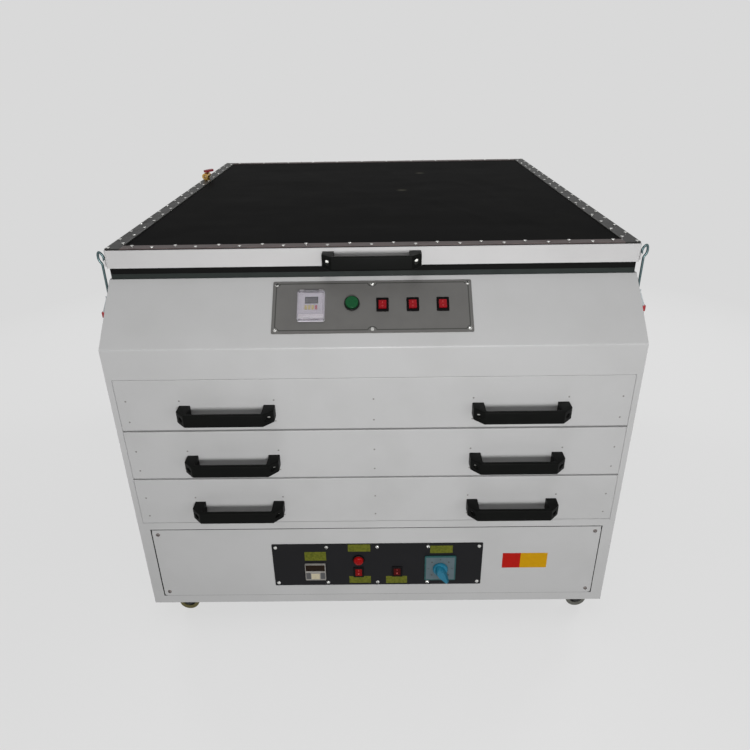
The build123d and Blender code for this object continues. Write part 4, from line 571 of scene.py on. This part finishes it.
# %% Fit the stops and the painted shadow round the hatch
STOP_BACK, SIDE_SUNK = -12.0, -0.1
HATCH_SHADOW_LEFT, HATCH_SHADOW_RIGHT, HATCH_SHADOW_BELOW, HATCH_SHADOW_ABOVE = 3.0, 2.4, 1.4, 1.0
shape = bmesh.new()
drawer_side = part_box("drawer_1_front")[1].x / MM
side_gap = (drawer_side + 0.2, drawer_side + 1.5)
drawer_tops = [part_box(f"drawer_{row}_front")[1].z / MM for row in (1, 2, 3)]
drawer_feet = [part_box(f"drawer_{row}_front")[0].z / MM for row in (1, 2, 3)]
for sign in (-1, 1):
    near, far = sorted((sign * side_gap[0], sign * side_gap[1]))
    beside = oblong(near, drawer_feet[2] - 1.0, far, drawer_tops[0] + 1.0)
    slab(shape, on_front, beside, STOP_BACK, SIDE_SUNK)
for low, high, sunk in (
    (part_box("base_pan")[1].z / MM, drawer_feet[2] - 0.4, -0.3),
    (drawer_tops[2] + 0.3, drawer_feet[1] - 0.3, -7.5),
    (drawer_tops[1] + 0.3, drawer_feet[0] - 0.3, -9.0),
):
    slab(shape, on_front, oblong(-side_gap[0], low, side_gap[0], high), STOP_BACK, sunk)
make_piece("drawer_stops", shape, "cabinet", casing_coat)
hatch_low, hatch_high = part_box("access_panel")
left_u, right_u = hatch_low.x / MM, hatch_high.x / MM
foot_v, head_v = hatch_low.z / MM, hatch_high.z / MM
# These slabs are painted shadow, the shade of the gap round the hatch, widest at the sides.
shape = bmesh.new()
for outline, rise in (
    ((left_u - HATCH_SHADOW_LEFT, foot_v - HATCH_SHADOW_BELOW, left_u, head_v + HATCH_SHADOW_ABOVE), 0.6),
    ((right_u, foot_v - HATCH_SHADOW_BELOW, right_u + HATCH_SHADOW_RIGHT, head_v + HATCH_SHADOW_ABOVE), 0.6),
    ((left_u, foot_v - HATCH_SHADOW_BELOW, right_u, foot_v), 0.5),
    ((left_u, head_v, right_u, head_v + HATCH_SHADOW_ABOVE), 0.5),
):
    slab(shape, on_front, oblong(*outline), 0.0, rise)
make_piece("hatch_gap_painted_shadow", shape, "cabinet", hatch_shadow_black)
print("side gap in mm:", [round(v, 1) for v in side_gap])

# %% [markdown]
# ## The rubber blanket
#
# The blanket is a sheet of black rubber, 1.5 mm thick, stretched over the lid and gripped under
# clamp bars all round. It hangs a little slack in the middle and has faint creases. A grid is bent
# by a smooth noise, held flat near its edges, and a Solidify modifier gives it its thickness. Two
# small grey scuffs are part of its finish: round each of two points a fine noise mixes in the tone of
# rubbed rubber and fades out within a few millimetres.

# %% Stretch the blanket
BLANKET_WIDTH, BLANKET_LENGTH, BLANKET_THICK = 1092 * MM, 1185 * MM, 1.5 * MM
blanket_low, blanket_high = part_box("rubber_blanket")
blanket_middle = (blanket_low + blanket_high) / 2
CLAMPED, FREE_AFTER = 36 * MM, 150 * MM
SLACK, CREASE = 2.5 * MM, 1.4 * MM
SCUFFS_MM, SCUFF_CORE, SCUFF_REACH = ((83, 96), (153, 395)), 5 * MM, 18 * MM
shape = bmesh.new()
spanned = Matrix.Diagonal((BLANKET_WIDTH, BLANKET_LENGTH, 1.0, 1.0))
bmesh.ops.create_grid(shape, x_segments=110, y_segments=118, size=0.5, matrix=spanned)
for vert in shape.verts:
    x, y = vert.co.x, vert.co.y
    inward = min(BLANKET_WIDTH / 2 - abs(x), BLANKET_LENGTH / 2 - abs(y))
    free = max(0.0, min(1.0, (inward - CLAMPED) / FREE_AFTER))
    crease = noise.fractal(Vector((x * 3.0, y * 5.0, 0.7)), 0.9, 2.0, 3)
    fold = 1.0 - abs(noise.noise(Vector((x * 6.0 + y * 2.0, y * 3.0, 4.2)))) * 5.0
    vert.co.z = -free * SLACK + free * CREASE * (crease + 0.5 * max(0.0, fold))
    vert.co += Vector((blanket_middle.x, blanket_middle.y, blanket_high.z))
blanket_rubber, tree, shader, place = start_finish("black_blanket_rubber")
dust = add_node(tree, "ShaderNodeTexNoise", {"Vector": place, "Scale": per_metre(90), "Detail": 6.0})
settled = {"From Min": 0.45, "From Max": 0.75, "To Min": 0.0, "To Max": 0.6}
film = add_node(tree, "ShaderNodeMapRange", {"Value": dust.outputs["Fac"], **settled})
greys = {"Factor": film.outputs["Result"], 6: srgb("0C0C0C"), 7: srgb("141413")}
tone = add_node(tree, "ShaderNodeMix", greys, data_type="RGBA").outputs[2]
smear = add_node(tree, "ShaderNodeTexNoise", {"Vector": place, "Scale": per_metre(8), "Detail": 4.0})
fading = {"From Min": SCUFF_CORE, "From Max": SCUFF_REACH, "To Min": 1.0, "To Max": 0.0}
for scuff_x, scuff_y in SCUFFS_MM:
    point = (scuff_x * MM, scuff_y * MM, blanket_high.z)
    away = add_node(tree, "ShaderNodeVectorMath", {0: place, 1: point}, operation="DISTANCE")
    near_spot = add_node(tree, "ShaderNodeMapRange", {"Value": away.outputs["Value"], **fading})
    factors = {0: near_spot.outputs["Result"], 1: smear.outputs["Fac"]}
    rubbed = add_node(tree, "ShaderNodeMath", factors, operation="MULTIPLY")
    greys = {"Factor": rubbed.outputs["Value"], 6: tone, 7: srgb("5C5A4E")}
    tone = add_node(tree, "ShaderNodeMix", greys, data_type="RGBA").outputs[2]
tree.links.new(tone, shader.inputs["Base Color"])
shader.inputs["Roughness"].default_value = 0.7
shader.inputs["Specular IOR Level"].default_value = 0.02
blanket = make_piece("rubber_blanket_sheet", shape, "lid", blanket_rubber, 180.0)
wall = blanket.modifiers.new("sheet thickness", "SOLIDIFY")
wall.thickness = BLANKET_THICK
wall.offset = -1.0
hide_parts("rubber_blanket")
print("blanket:", len(blanket.data.polygons), "faces")

# %% [markdown]
# ## Clamp bars
#
# Four flat steel bars grip the blanket. The two at the ends are painted brown and the two along the
# sides are darker, and on all of them the paint has worn off the arrises. So each bar gets a small
# bevel all round, and the narrow bevel faces get a pale, half-metal finish that is partly the bare
# steel of that wear and partly a painted highlight along the edges.

# %% Split the clamp bars
for name, test, finish in (
    ("clamp_bars_sides", lambda middle, size: size.y > size.x, side_bar),
    ("clamp_bars_ends", lambda middle, size: size.x > size.y, end_bar),
):
    shape = soften(solids_of("clamp_bars", test), 0.8, 1)
    # The sloping bevel faces get the pale edge finish, partly wear and partly painted highlight.
    for face in shape.faces:
        if 0.2 < abs(face.normal.z) < 0.95:
            face.material_index = 1
    bars = make_piece(name, shape, "lid", finish)
    bars.data.materials.append(bar_edge)
    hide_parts("clamp_bars")
print("clamp bars split")

# %% [markdown]
# ## Plate screws
#
# The console and the lower plate are held by nickel-plated pan heads, and the hatch by duller ones.
# A head is a stack of rings whose crown is bridged to a cross, which is extruded back into the head.

# %% Drive the plate screws
HEAD_RADIUS, HEAD_RISE, CROSS_LONG, CROSS_WIDE, CROSS_DEEP = 4.6, 2.6, 2.7, 0.7, 1.1


def pan_head(shape, face, u, v, seat):
    """Adds one pan head with a cross recess, standing on a face."""
    turns = [2 * math.pi * (i + 0.5) / 16 for i in range(16)]
    rings = []
    for share, rise in ((1.0, 0.0), (1.0, 0.7), (0.9, 1.6), (0.66, HEAD_RISE)):
        radius = HEAD_RADIUS * share
        points = [(u + radius * math.cos(t), v + radius * math.sin(t)) for t in turns]
        ring = [shape.verts.new(face(*point, seat + rise)) for point in points]
        rings.append([shape.edges.new(pair) for pair in zip(ring[-1:] + ring, ring)])
    for lower, upper in zip(rings, rings[1:]):
        bmesh.ops.bridge_loops(shape, edges=lower + upper)
    a, b = CROSS_LONG, CROSS_WIDE
    half = [(a, -b), (a, b), (b, b), (b, a), (-b, a), (-b, b)]
    outline = half + [(-p, -q) for p, q in half]
    cross = shape.faces.new([shape.verts.new(face(u + p, v + q, seat + HEAD_RISE)) for p, q in outline])
    bmesh.ops.bridge_loops(shape, edges=rings[-1] + list(cross.edges))
    grown = bmesh.ops.extrude_face_region(shape, geom=[cross])
    sunk = [part for part in grown["geom"] if isinstance(part, bmesh.types.BMVert)]
    bmesh.ops.translate(shape, verts=sunk, vec=face(0, 0, -CROSS_DEEP) - face(0, 0, 0))


screws = solids_of("panel_screws")
PANEL_SCREW_PLACES = [middle for island, middle, size in islands(screws)]
screws.free()
PANEL_SCREW_PLACES.sort(key=lambda middle: (round(middle.z, 3), round(middle.x, 3)))
bright, dull = bmesh.new(), bmesh.new()
for middle in PANEL_SCREW_PLACES:
    if middle.z > SLOPE_FOOT_Z:
        up_mm = (middle - on_slope(0, 0)).dot(UPWARD) / MM
        pan_head(bright, on_slope, middle.x / MM, up_mm, CONSOLE_FACE)
    elif abs(middle.x) < 300 * MM:
        pan_head(bright, on_front, middle.x / MM, middle.z / MM, LOWER_PLATE_FACE)
    else:
        pan_head(dull, on_front, middle.x / MM, middle.z / MM, HATCH_FACE)
for name, shape, finish in (("plate_screws", bright, screw_steel), ("hatch_screws", dull, bar_edge)):
    bmesh.ops.recalc_face_normals(shape, faces=shape.faces)
    heads = make_piece(name, shape, "cabinet", finish)
    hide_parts("panel_screws")
print("plate screws:", len(PANEL_SCREW_PLACES))

# %% [markdown]
# ## The console's border line
#
# A thin dark line is printed round the console, just inside its edge. It cuts the corners where the
# corner screws are and dips round the two screws in the middle. The path is written once, corner by
# corner, and a band as thick as the ink follows it.

# %% Print the border line
LEFT_U, RIGHT_U, FOOT_V, HEAD_V, CUT, DIP, LINE_WIDE = -199.0, 199.0, 36.5, 144.5, 9.0, 8.5, 2.2


def dip(centre_v, towards, first, last):
    """The points of a half round dip in the line about the middle screw."""
    turns = [math.radians(first + (last - first) * i / 6) for i in range(7)]
    return [(DIP * math.cos(t), centre_v + towards * DIP * 0.8 * math.sin(t)) for t in turns]


border = [(LEFT_U + CUT, FOOT_V)]
border += dip(FOOT_V, 1, 180, 0)
border += [(RIGHT_U - CUT, FOOT_V), (RIGHT_U, FOOT_V + CUT), (RIGHT_U, HEAD_V - CUT), (RIGHT_U - CUT, HEAD_V)]
border += dip(HEAD_V, -1, 0, 180)
border += [(LEFT_U + CUT, HEAD_V), (LEFT_U, HEAD_V - CUT), (LEFT_U, FOOT_V + CUT)]
shape = bmesh.new()
strip(shape, on_slope, border, LINE_WIDE, CONSOLE_FACE, CONSOLE_FACE + INK)
make_piece("console_border_line", shape, "cabinet", print_dark)
print("border line of", len(border), "points")

# %% [markdown]
# ## Devices in the two plates
#
# One node holds the five switch housings, the start button's ring, the pilot lamp and the isolator's
# face plate. They are real parts of different colours, so they are told apart by where they stand
# and each gets its own copy, except the pilot lamp, which is turned anew below.

# %% Split the plate devices
RING_X, PILOT_X, ISOLATOR_X = -41.6 * MM, -42.3 * MM, 152 * MM


def device_at(middle, size):
    """Names a device by its plate, its place across it and its size; all the rest are housings."""
    on_console = middle.z > SLOPE_FOOT_Z
    if on_console and abs(middle.x - RING_X) < 5 * MM:
        return "start_button_ring"
    if not on_console and middle.z > 190 * MM and abs(middle.x - PILOT_X) < 5 * MM:
        return "pilot_lamp"
    if not on_console and size.x > 60 * MM and abs(middle.x - ISOLATOR_X) < 5 * MM:
        return "isolator_face_plate"
    return "switch_housings"


for name, finish, slot in (
    ("switch_housings", device_black, "device_black"),
    ("start_button_ring", button_ring, "device_black"),
    ("isolator_face_plate", isolator_teal, "controller_grey"),
):
    shape = solids_of("panel_bezels", lambda middle, size: device_at(middle, size) == name)
    device = make_piece(name, soften(shape, 0.5), "cabinet", finish)
    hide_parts("panel_bezels")
print("devices split")

# %% [markdown]
# ## Switches, button and lamp
#
# The rockers are polycarbonate in three reds with a pale bar and ring printed on, which are the usual
# marks for on and off. The button is a green dome in a dark ring. The pilot lamp is a turned black
# bezel round a red lens that stands a little proud, spun from one profile each.

# %% Fit switches, button and lamp
ROCKERS = {
    "vacuum_rocker": (OUTWARD, rocker_red),
    "exposure_rocker": (OUTWARD, rocker_red),
    "view_light_rocker": (OUTWARD, rocker_red),
    "heater_rocker": (Vector((0, -1, 0)), rocker_deep),
    "fan_rocker": (Vector((0, -1, 0)), rocker_wine),
}
MARK_RISE, MARK_SHIFT, BAR_WIDE, BAR_LONG = 0.12, 4.8, 0.5, 2.2
MARK_RING = [(1.1, 0.0), (1.1, MARK_RISE), (1.9, MARK_RISE), (1.9, 0.0), (1.1, 0.0)]


def facing(origin, across, normal):
    """A face of its own, such as a tilted key's: two lengths along it and a height above it."""
    upwards = normal.cross(across)
    return lambda u, v, out=0.0: origin + (across * u + upwards * v + normal * out) * MM


for node, (outward, red) in ROCKERS.items():
    shape = soften(solids_of(node), 0.6)
    tops = sorted((f for f in shape.faces if f.normal.dot(outward) > 0.85), key=lambda f: -f.calc_area())[:2]
    tops.sort(key=lambda f: -f.calc_center_median().z)
    if len(tops) > 1 and tops[1].calc_area() > 0.4 * tops[0].calc_area():
        seats = [(f.calc_center_median(), f.normal.copy(), 0.0) for f in tops]
    else:
        middle, normal = tops[0].calc_center_median(), tops[0].normal.copy()
        seats = [(middle, normal, shift) for shift in (MARK_SHIFT, -MARK_SHIFT)]
    marks = bmesh.new()
    (origin, normal, shift), (origin_2, normal_2, shift_2) = seats
    bar = oblong(-BAR_WIDE, shift - BAR_LONG, BAR_WIDE, shift + BAR_LONG)
    slab(marks, facing(origin, ALONG, normal), bar, 0.0, MARK_RISE)
    turned(marks, facing(origin_2, ALONG, normal_2), 0.0, shift_2, MARK_RING, 20)
    cap = make_piece(node + "_cap", shape, node, red)
    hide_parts(node)
    make_piece(node + "_marks", marks, node, rocker_mark)
shape = soften(solids_of("start_button"), 0.4)
button = make_piece("start_button_cap", shape, "start_button", button_green)
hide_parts("start_button")

PILOT_U, PILOT_V = -42.3, 206.0
LAMP_BEZEL = [(0, 3.5), (14.5, 3.5), (14.5, 5.4), (13.8, 6.6)]
LAMP_BEZEL += [(12.6, 7.2), (12.0, 6.6), (12.0, 5.0), (0, 5.0)]
LAMP_LENS = [(0, 5.1), (11.9, 5.1), (11.9, 8.4), (11.0, 10.6), (8.8, 12.2), (5.4, 13.2), (0, 13.5)]
shape = bmesh.new()
turned(shape, on_front, PILOT_U, PILOT_V, LAMP_BEZEL, 32)
bezel = make_piece("pilot_lamp_bezel", shape, "cabinet", device_black)
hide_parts("panel_bezels")
shape = bmesh.new()
turned(shape, on_front, PILOT_U, PILOT_V, LAMP_LENS, 32)
make_piece("pilot_lamp_lens", shape, "cabinet", lamp_red)
print("rockers:", len(ROCKERS))

# %% [markdown]
# ## Timer and controller
#
# The timer is a white module in a white frame, with a dark window of four digits and four small keys,
# three yellow and one red. At its foot a bright white ledge is painted highlight: it stands for the
# light caught by the lower lip of the clear hood. The controller below is a grey module with a wine
# red window over a beige key block between two dark keys. Windows and key blocks are thin slabs on
# the faces of the modules.

# %% Fit the timer
shape = soften(solids_of("exposure_timer"), 0.6)
timer = make_piece("timer_body", shape, "cabinet", timer_white)
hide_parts("exposure_timer")
WINDOW, LEDGE = (-137.5, 95.5, -110.5, 110.5), (-150.5, 62.5, -99.5, 71.0)
TIMER_FACE, WINDOW_FACE, LEDGE_FACE = 6.0, 6.5, 9.0
DIGIT_STEP, DIGIT_WIDE, DIGIT_FOOT, DIGIT_HEAD, DIGIT_STROKE = 5.9, 3.6, 99.2, 107.2, 0.9
KEY_STEP, KEY_HALF = 7.0, 2.5
slab_piece("timer_window", on_slope, [oblong(*WINDOW)], TIMER_FACE, WINDOW_FACE, display_dark)
shape = bmesh.new()
for i in range(4):
    left_u = WINDOW[0] + 2.6 + DIGIT_STEP * i
    digit = oblong(left_u, DIGIT_FOOT, left_u + DIGIT_WIDE, DIGIT_HEAD)
    strip(shape, on_slope, digit, DIGIT_STROKE, WINDOW_FACE, WINDOW_FACE + 0.1)
make_piece("timer_digits", shape, "cabinet", digit_grey)
# The ledge is painted highlight for the lower lip of the clear hood.
shape = bmesh.new()
slab(shape, on_slope, oblong(*LEDGE), CONSOLE_FACE, LEDGE_FACE)
make_piece("timer_hood_lip_highlight", soften(shape, 1.0), "cabinet", hood_lip_highlight)
first_key_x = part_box("timer_keys")[0].x / MM + KEY_HALF
for i, finish in enumerate((key_yellow, key_yellow, key_yellow, key_red)):
    key_x = first_key_x + KEY_STEP * i
    key = solids_of("timer_keys", lambda middle, size: abs(middle.x / MM - key_x) < 2)
    piece = make_piece(f"timer_key_{i + 1}", soften(key, 0.4), "timer_keys", finish)
    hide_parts("timer_keys")
print("timer fitted")

# %% Fit the controller
shape = soften(solids_of("temperature_controller"), 0.8)
controller = make_piece("controller_body", shape, "cabinet", controller_grey)
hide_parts("temperature_controller")
CONTROLLER_FACE, BLOCK_FACE = 9.5, 11.5
WINE_WINDOW, KEY_BLOCK = oblong(-168.7, 177.0, -123.3, 195.3), oblong(-156.0, 153.7, -136.0, 170.7)
SIDE_KEYS = [oblong(left_u, 152.5, left_u + 10.5, 171.5) for left_u in (-168.5, -134.0)]
for name, outlines, seat, rise, finish, slot in (
    ("controller_window", [WINE_WINDOW], CONTROLLER_FACE, 0.4, display_wine, "device_black"),
    ("controller_key_block", [KEY_BLOCK], BLOCK_FACE, 0.4, block_beige, "controller_grey"),
    ("controller_side_keys", SIDE_KEYS, CONTROLLER_FACE, 0.6, controller_dark, "device_black"),
):
    slab_piece(name, on_front, outlines, seat, seat + rise, finish)
print("controller fitted")

# %% [markdown]
# ## Isolator
#
# The isolator's face plate is grey with a teal border, and its positions are marked by short printed
# strokes round the knob. The blue knob is a flat disc with a teardrop grip: the grip's outline is
# extruded and its crown is inset and raised, so it gets the sloping facets of the moulded knob.

# %% Fit the isolator
KNOB_U, KNOB_V, SLANT = 152.0, 180.0, math.radians(-61)
ISOLATOR_FACE, FIELD_FACE, FIELD_HALF, MARK_RADIUS = 7.5, 7.8, 33.5, 28.0
isolator_low, isolator_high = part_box("isolator_knob")


def upright_mark(u, v, half_u, half_v):
    """An upright rectangle about a point."""
    return oblong(u - half_u, v - half_v, u + half_u, v + half_v)


field = upright_mark(KNOB_U, KNOB_V, FIELD_HALF, FIELD_HALF)
slab_piece(
    "isolator_grey_field", on_front, [field], ISOLATOR_FACE, FIELD_FACE, isolator_grey
)
strokes = []
for i in range(8):
    over, along = math.sin(math.radians(45 * i)), math.cos(math.radians(45 * i))
    u, v = KNOB_U + MARK_RADIUS * over, KNOB_V + MARK_RADIUS * along
    strokes.append(upright_mark(u, v, 0.7 + 1.6 * abs(over), 0.7 + 1.6 * abs(along)))
slab_piece(
    "isolator_position_marks", on_front, strokes, FIELD_FACE, FIELD_FACE + INK, print_dark
)
KNOB_DISC = [(0, 7.8), (17.0, 7.8), (18.0, 8.8), (18.0, 12.0), (16.0, 15.0), (12.0, 15.8), (0, 15.8)]
GRIP_SIDE = [(34.5, 2.0), (33.0, 4.6), (22.0, 7.2), (10.0, 10.4)]
GRIP_SIDE += [(0.0, 11.6), (-8.0, 10.0), (-14.0, 6.0), (-15.5, 2.0)]
GRIP_FOOT, GRIP_WAIST, FACET_WIDE, FACET_HIGH = 8.2, 23.2, 3.4, 6.4
shape = bmesh.new()
turned(shape, on_front, KNOB_U, KNOB_V, KNOB_DISC, 32)
teardrop = GRIP_SIDE + [(along, -across) for along, across in reversed(GRIP_SIDE)]
grip = [
    (
        KNOB_U + along * math.cos(SLANT) - across * math.sin(SLANT),
        KNOB_V + along * math.sin(SLANT) + across * math.cos(SLANT),
    )
    for along, across in teardrop
]
crown = set(slab(shape, on_front, grip, GRIP_FOOT, GRIP_WAIST))
bmesh.ops.inset_region(
    shape,
    faces=[face for face in shape.faces if crown.issuperset(face.verts)],
    thickness=FACET_WIDE * MM,
    depth=FACET_HIGH * MM,
    use_even_offset=True,
    use_boundary=True,
)
bmesh.ops.recalc_face_normals(shape, faces=shape.faces)
knob = make_piece("isolator_knob_grip", shape, "isolator_knob", knob_blue)
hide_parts("isolator_knob")
print("isolator knob spans", [round(v / MM) for v in isolator_high - isolator_low], "mm")

# %% [markdown]
# ## Labels
#
# Five strips of olive film stand beside the devices of the lower plate, and a red and yellow film is
# stuck to the hatch. All are blank here. Film is a tenth of a millimetre thick, so each label is the
# thinnest slab of the scene.

# %% Stick the labels
FILM = 0.15
OLIVE = [
    oblong(-169.9, 204.5, -119.0, 231.0),
    oblong(-66.7, 231.0, -13.9, 252.5),
    oblong(-66.0, 133.0, -14.0, 154.5),
    oblong(22.6, 131.5, 73.4, 154.0),
    oblong(127.1, 224.5, 180.3, 246.8),
]
for name, outlines, seat, finish in (
    ("olive_labels", OLIVE, LOWER_PLATE_FACE, label_olive),
    ("red_label", [oblong(299.5, 175.5, 342.0, 220.5)], HATCH_FACE, label_red),
    ("yellow_label", [oblong(342.0, 175.5, 405.5, 220.5)], HATCH_FACE, label_yellow),
):
    slab_piece(name, on_front, outlines, seat, seat + FILM, finish)
print("labels stuck")

# %% [markdown]
# ## Latches
#
# An over-centre latch at each side pulls the lid down. Its wire hook is blued spring steel, its lever
# is zinc-plated, and the lever's end is dipped in red plastisol, which leaves a thick rounded sleeve.

# %% Dip the grips
LATCH_Y = FRONT_Y + 122 * MM
SLEEVE, SLEEVE_IN, SLEEVE_UP = mm(10.4, 19.6, 14.4), 4.5 * MM, 6.5 * MM
for side, prefix in ((-1, "left"), (1, "right")):
    low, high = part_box(f"{prefix}_latch_lever")
    end_x = (high.x - SLEEVE_IN) if side > 0 else (low.x + SLEEVE_IN)
    shape = bmesh.new()
    place = Matrix.Translation((end_x, LATCH_Y, low.z + SLEEVE_UP))
    bmesh.ops.create_cube(shape, size=1.0, matrix=place @ Matrix.Diagonal((*SLEEVE, 1.0)))
    round_edges(shape, shape.edges[:], 2.4, 3)
    make_piece(f"{prefix}_latch_red_grip", shape, f"{prefix}_latch_lever", grip_red)
print("latch grips dipped")

# %% [markdown]
# ## Casters
#
# A caster wheel is a hard nylon hub with a softer tread moulded round it. Both are turned from their
# profiles round the axle. The front casters have swung sideways, so their axles point to the front.

# %% Turn the wheels
TREAD = [(15.0, -9.0), (22.0, -10.0), (24.2, -9.1), (25.0, -7.0)]
TREAD += [(radius, -height) for radius, height in reversed(TREAD)]
HUB = [(4.2, -9.8), (9.0, -9.8), (10.5, -7.5), (15.2, -7.0)]
HUB += [(radius, -height) for radius, height in reversed(HUB)]
INWARD = Vector((0, 1, 0))
WHEELS = {
    "front_left_wheel": (INWARD, wheel_olive),
    "front_right_wheel": (INWARD, wheel_grey),
    "rear_left_wheel": (ALONG, wheel_nylon),
    "rear_right_wheel": (ALONG, wheel_nylon),
}
for node, (axle, tread_finish) in WHEELS.items():
    low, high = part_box(node)
    place_at = facing((low + high) / 2, Vector((0, 0, 1)).cross(axle), axle)
    for part, profile, finish in (("tread", TREAD, tread_finish), ("hub", HUB, wheel_nylon)):
        shape = bmesh.new()
        turned(shape, place_at, 0.0, 0.0, profile + profile[:1], 48)
        piece = make_piece(f"{node}_{part}", shape, node, finish)
        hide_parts(node)
print("wheels:", len(WHEELS))

# %% [markdown]
# ## Lamp tray
#
# The tray under the tubes is bright aluminium that throws the light up, and the lampholders at both
# ends are white plastic. They come as one node, so they are told apart by their width.

# %% Split the lamp tray
for name, test, finish in (
    ("lamp_reflector", lambda middle, size: size.x > 300 * MM, reflector),
    ("lamp_holders", lambda middle, size: size.x <= 300 * MM, holder_white),
):
    shape = solids_of("lamp_tray", test)
    if len(shape.verts):
        piece = make_piece(name, shape, "cabinet", finish)
        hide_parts("lamp_tray")
print("lamp tray split")

# %% [markdown]
# ## Floor and light
#
# The machine stands on a plain pale floor that runs to the horizon. Close to the machine the floor
# takes its shadow, and further out it fades into the flat tone of the backdrop. A soft sky lights it
# from all round, and the main lamp is a half metre panel straight in front and only a little above
# the lid, so that each handle throws a narrow shadow on its drawer. Four weaker panels fill in from
# above, from the right and from behind, and all but the right one stay out of reflections.

# %% Floor
BACKDROP = "D9D9D9"
FADE_FROM, FADE_TO = 1.0, 2.6


def seen_directly(tree):
    """One for the rays that show a surface to the camera, a mirror or glass, and nought for light."""
    path = add_node(tree, "ShaderNodeLightPath")
    share = path.outputs["Is Camera Ray"]
    for ray in ("Is Glossy Ray", "Is Transmission Ray"):
        either = add_node(tree, "ShaderNodeMath", {0: share, 1: path.outputs[ray]}, operation="MAXIMUM")
        share = either.outputs["Value"]
    return share


shape = bmesh.new()
bmesh.ops.create_grid(shape, x_segments=1, y_segments=1, size=60.0)
floor_mesh = bpy.data.meshes.new("floor")
shape.to_mesh(floor_mesh)
shape.free()
floor = add_object("floor", floor_mesh)
floor_tone = bpy.data.materials.new("pale_floor")
floor_tone.use_nodes = True
tree = floor_tone.node_tree
tree.nodes.clear()
shown = seen_directly(tree)
spot = add_node(tree, "ShaderNodeTexCoord")
distance = add_node(tree, "ShaderNodeVectorMath", {0: spot.outputs["Object"]}, operation="LENGTH")
reach = {"Value": distance.outputs["Value"], "From Min": FADE_FROM, "From Max": FADE_TO}
fade = add_node(tree, "ShaderNodeMapRange", {**reach, "To Min": 0.25, "To Max": 0.0})
glow = add_node(tree, "ShaderNodeMapRange", {**reach, "To Min": 1.16, "To Max": 1.0})
matt = add_node(tree, "ShaderNodeBsdfDiffuse", {"Color": srgb("DADADA")})
flat = add_node(tree, "ShaderNodeEmission", {"Color": srgb(BACKDROP), "Strength": glow.outputs["Result"]})
parts = {0: fade.outputs["Result"], 1: flat.outputs[0], 2: matt.outputs[0]}
near = add_node(tree, "ShaderNodeMixShader", parts)
bounce = add_node(tree, "ShaderNodeBsdfDiffuse", {"Color": srgb("707070")})
both = add_node(tree, "ShaderNodeMixShader", {0: shown, 1: bounce.outputs[0], 2: near.outputs[0]})
add_node(tree, "ShaderNodeOutputMaterial", {"Surface": both.outputs[0]})
floor.data.materials.append(floor_tone)
floor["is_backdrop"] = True
print("floor laid")

# %% Sky and lamps
SKY_STRENGTH = 0.21
sky = bpy.data.worlds.new("studio")
bpy.context.scene.world = sky
sky.use_nodes = True
tree = sky.node_tree
tree.nodes.clear()
shown = seen_directly(tree)
light = add_node(tree, "ShaderNodeBackground", {"Color": (1.0, 1.0, 1.0, 1.0), "Strength": SKY_STRENGTH})
plain = add_node(tree, "ShaderNodeBackground", {"Color": srgb(BACKDROP), "Strength": 1.0})
both = add_node(tree, "ShaderNodeMixShader", {0: shown, 1: light.outputs[0], 2: plain.outputs[0]})
add_node(tree, "ShaderNodeOutputWorld", {"Surface": both.outputs[0]})


def panel_lamp(name, place, aim, width, watts):
    """A square soft lamp at a place, turned to a point."""
    lamp = bpy.data.lights.new(name, "AREA")
    lamp.shape = "SQUARE"
    lamp.size = width
    lamp.energy = watts
    holder = add_object(name, lamp)
    turn = (Vector(aim) - Vector(place)).to_track_quat("-Z", "Y")
    holder.matrix_world = Matrix.Translation(place) @ turn.to_matrix().to_4x4()
    return holder


panel_lamp("front_panel", (0.1, -2.75, 1.06), (0.0, -0.6, 0.75), 0.45, 30.0)
FILL_LAMPS = (
    ("top_panel", (-0.1, -1.3, 3.1), (0.0, -0.5, 0.8), 1.4, 8.0),
    ("rear_left_panel", (-2.3, 2.4, 1.6), (0.0, 0.2, 0.5), 1.2, 36.0),
    ("rear_right_panel", (2.5, 1.8, 1.6), (0.0, 0.2, 0.5), 1.2, 36.0),
)
for fill in FILL_LAMPS:
    panel_lamp(*fill).visible_glossy = False
panel_lamp("right_panel", (1.9, -2.4, 0.9), (0.2, -0.6, 0.5), 1.2, 6.0)
bpy.context.scene.view_settings.view_transform = "Standard"
print("lights placed")

# %% [markdown]
# ## Close the scene
#
# The outer box of the dressed machine is measured last, because dressing must not change the size
# of the machine.

# %% Measure the box and finish
low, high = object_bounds()
